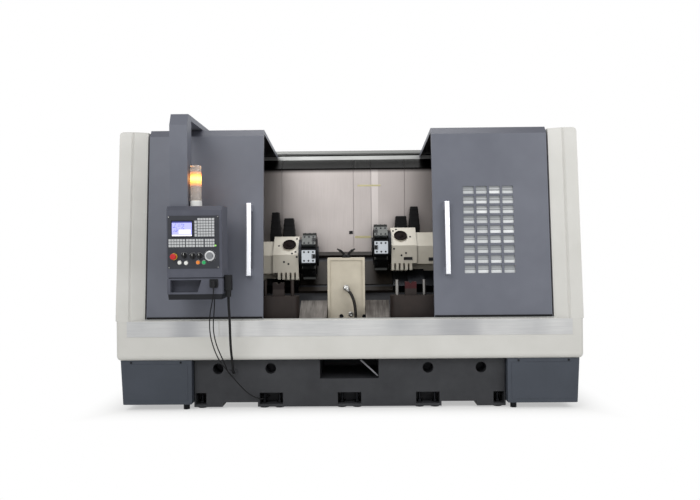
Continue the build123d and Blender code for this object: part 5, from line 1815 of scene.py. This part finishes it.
@dataclass(frozen=True)
class Studio:
    """Plain pale floor, white surroundings and soft lamps."""

    floor_half: float = 30.0
    floor_colour: str = "#f6f6f4"
    footprint: Pair = (1.85, 0.70)
    near: float = -0.1
    fade: float = 0.40
    least: float = 0.45
    sky_strength: float = 0.52
    lamps: tuple[Softbox, ...] = (
        Softbox("key_lamp", (-2.6, -6.0, 5.2), (0.0, 0.0, 1.2), (4.0, 3.0), 185.0),
        Softbox("fill_lamp", (4.2, -5.0, 3.6), (0.2, 0.0, 1.1), (3.0, 3.0), 95.0),
        Softbox("top_lamp", (0.0, -0.2, 5.0), (0.0, 0.1, 1.2), (3.4, 2.0), 105.0),
    )

    def build(self) -> None:
        """Set the view, the surroundings, the floor and the lamps."""
        scene = bpy.context.scene
        scene.view_settings.view_transform = "Standard"
        world = bpy.data.worlds.new("studio")
        world.use_nodes = True
        scene.world = world
        tree = world.node_tree
        tree.nodes.clear()
        seen = self.seen_rays(tree)
        lit = add_node(tree, "ShaderNodeBackground", {"Color": (1, 1, 1, 1), "Strength": self.sky_strength})
        white = add_node(tree, "ShaderNodeBackground", {"Color": (1, 1, 1, 1), "Strength": 1.0})
        both = add_node(tree, "ShaderNodeMixShader", {0: seen, 1: lit.outputs[0], 2: white.outputs[0]})
        add_node(tree, "ShaderNodeOutputWorld", {"Surface": both.outputs[0]})
        self.lay_floor()
        for lamp in self.lamps:
            lamp.build()

    def seen_rays(self, tree: Tree) -> Socket:
        """Tell rays from the camera, metal and glass, as 1, from all others.

        Args:
            tree: the node tree that is built up.

        Returns:
            The value's socket.
        """
        path = add_node(tree, "ShaderNodeLightPath")
        first = add_node(
            tree,
            "ShaderNodeMath",
            {0: path.outputs["Is Camera Ray"], 1: path.outputs["Is Glossy Ray"]},
            operation="MAXIMUM",
        )
        return add_node(
            tree,
            "ShaderNodeMath",
            {0: first.outputs[0], 1: path.outputs["Is Transmission Ray"]},
            operation="MAXIMUM",
        ).outputs[0]

    def lay_floor(self) -> None:
        """Add the floor, which fades to white away from the object and keeps its shadow."""
        bpy.ops.object.select_all(action="DESELECT")
        bpy.ops.mesh.primitive_plane_add(size=2 * self.floor_half, location=(0, 0, 0))
        floor = bpy.context.object
        floor.name = "studio_floor"
        paint = bpy.data.materials.new("pale_floor")
        paint.use_nodes = True
        tree = paint.node_tree
        tree.nodes.clear()
        parts = Finish.where(tree)
        gaps = []
        for axis, half in zip("XY", self.footprint):
            size = add_node(tree, "ShaderNodeMath", {0: parts[axis]}, operation="ABSOLUTE").outputs[0]
            gaps.append(add_node(tree, "ShaderNodeMath", {0: size, 1: half}, operation="SUBTRACT").outputs[0])
        gap = add_node(tree, "ShaderNodeMath", {0: gaps[0], 1: gaps[1]}, operation="MAXIMUM").outputs[0]
        far = add_node(
            tree,
            "ShaderNodeMapRange",
            {"Value": gap, "From Min": self.near, "From Max": self.fade, "To Min": self.least},
            interpolation_type="SMOOTHSTEP",
        ).outputs[0]
        seen = self.seen_rays(tree)
        fade = add_node(tree, "ShaderNodeMath", {0: far, 1: seen}, operation="MULTIPLY").outputs[0]
        matt = add_node(tree, "ShaderNodeBsdfDiffuse", {"Color": linear(self.floor_colour)})
        white = add_node(tree, "ShaderNodeEmission", {"Color": (1, 1, 1, 1), "Strength": 1.0})
        both = add_node(tree, "ShaderNodeMixShader", {0: fade, 1: matt.outputs[0], 2: white.outputs[0]})
        add_node(tree, "ShaderNodeOutputMaterial", {"Surface": both.outputs[0]})
        floor.data.materials.append(paint)


def dress_nodes(nodes: dict[str, Piece]) -> None:
    """Give every CAD node that shows its finish.

    Args:
        nodes: the frame's CAD nodes.
    """
    for finish, names in NODE_FINISHES:
        for name in names.split():
            finish.dress(nodes[name])


def main() -> None:
    """Build every sub-assembly in order and report it."""
    logging.basicConfig(level=logging.INFO, format="%(name)s %(message)s")
    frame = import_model()
    nodes = frame["nodes"]
    PhotoCamera().build()
    for cord in CORDS:
        log.info("cord %s", cord.build(nodes).name)
    Studio().build()
    dress_nodes(nodes)
    assemblies = (
        *TURRETS,
        HousingFittings(),
        CentreDress(),
        PendantDress(),
        WallDress(),
        DoorWipersAndShadowLines(),
        SheetFasteners(),
    )
    for assembly in assemblies:
        for piece in assembly.build():
            log.info("piece %s, %d faces", piece.name, len(piece.data.polygons))


if __name__ == "__main__":
    main()
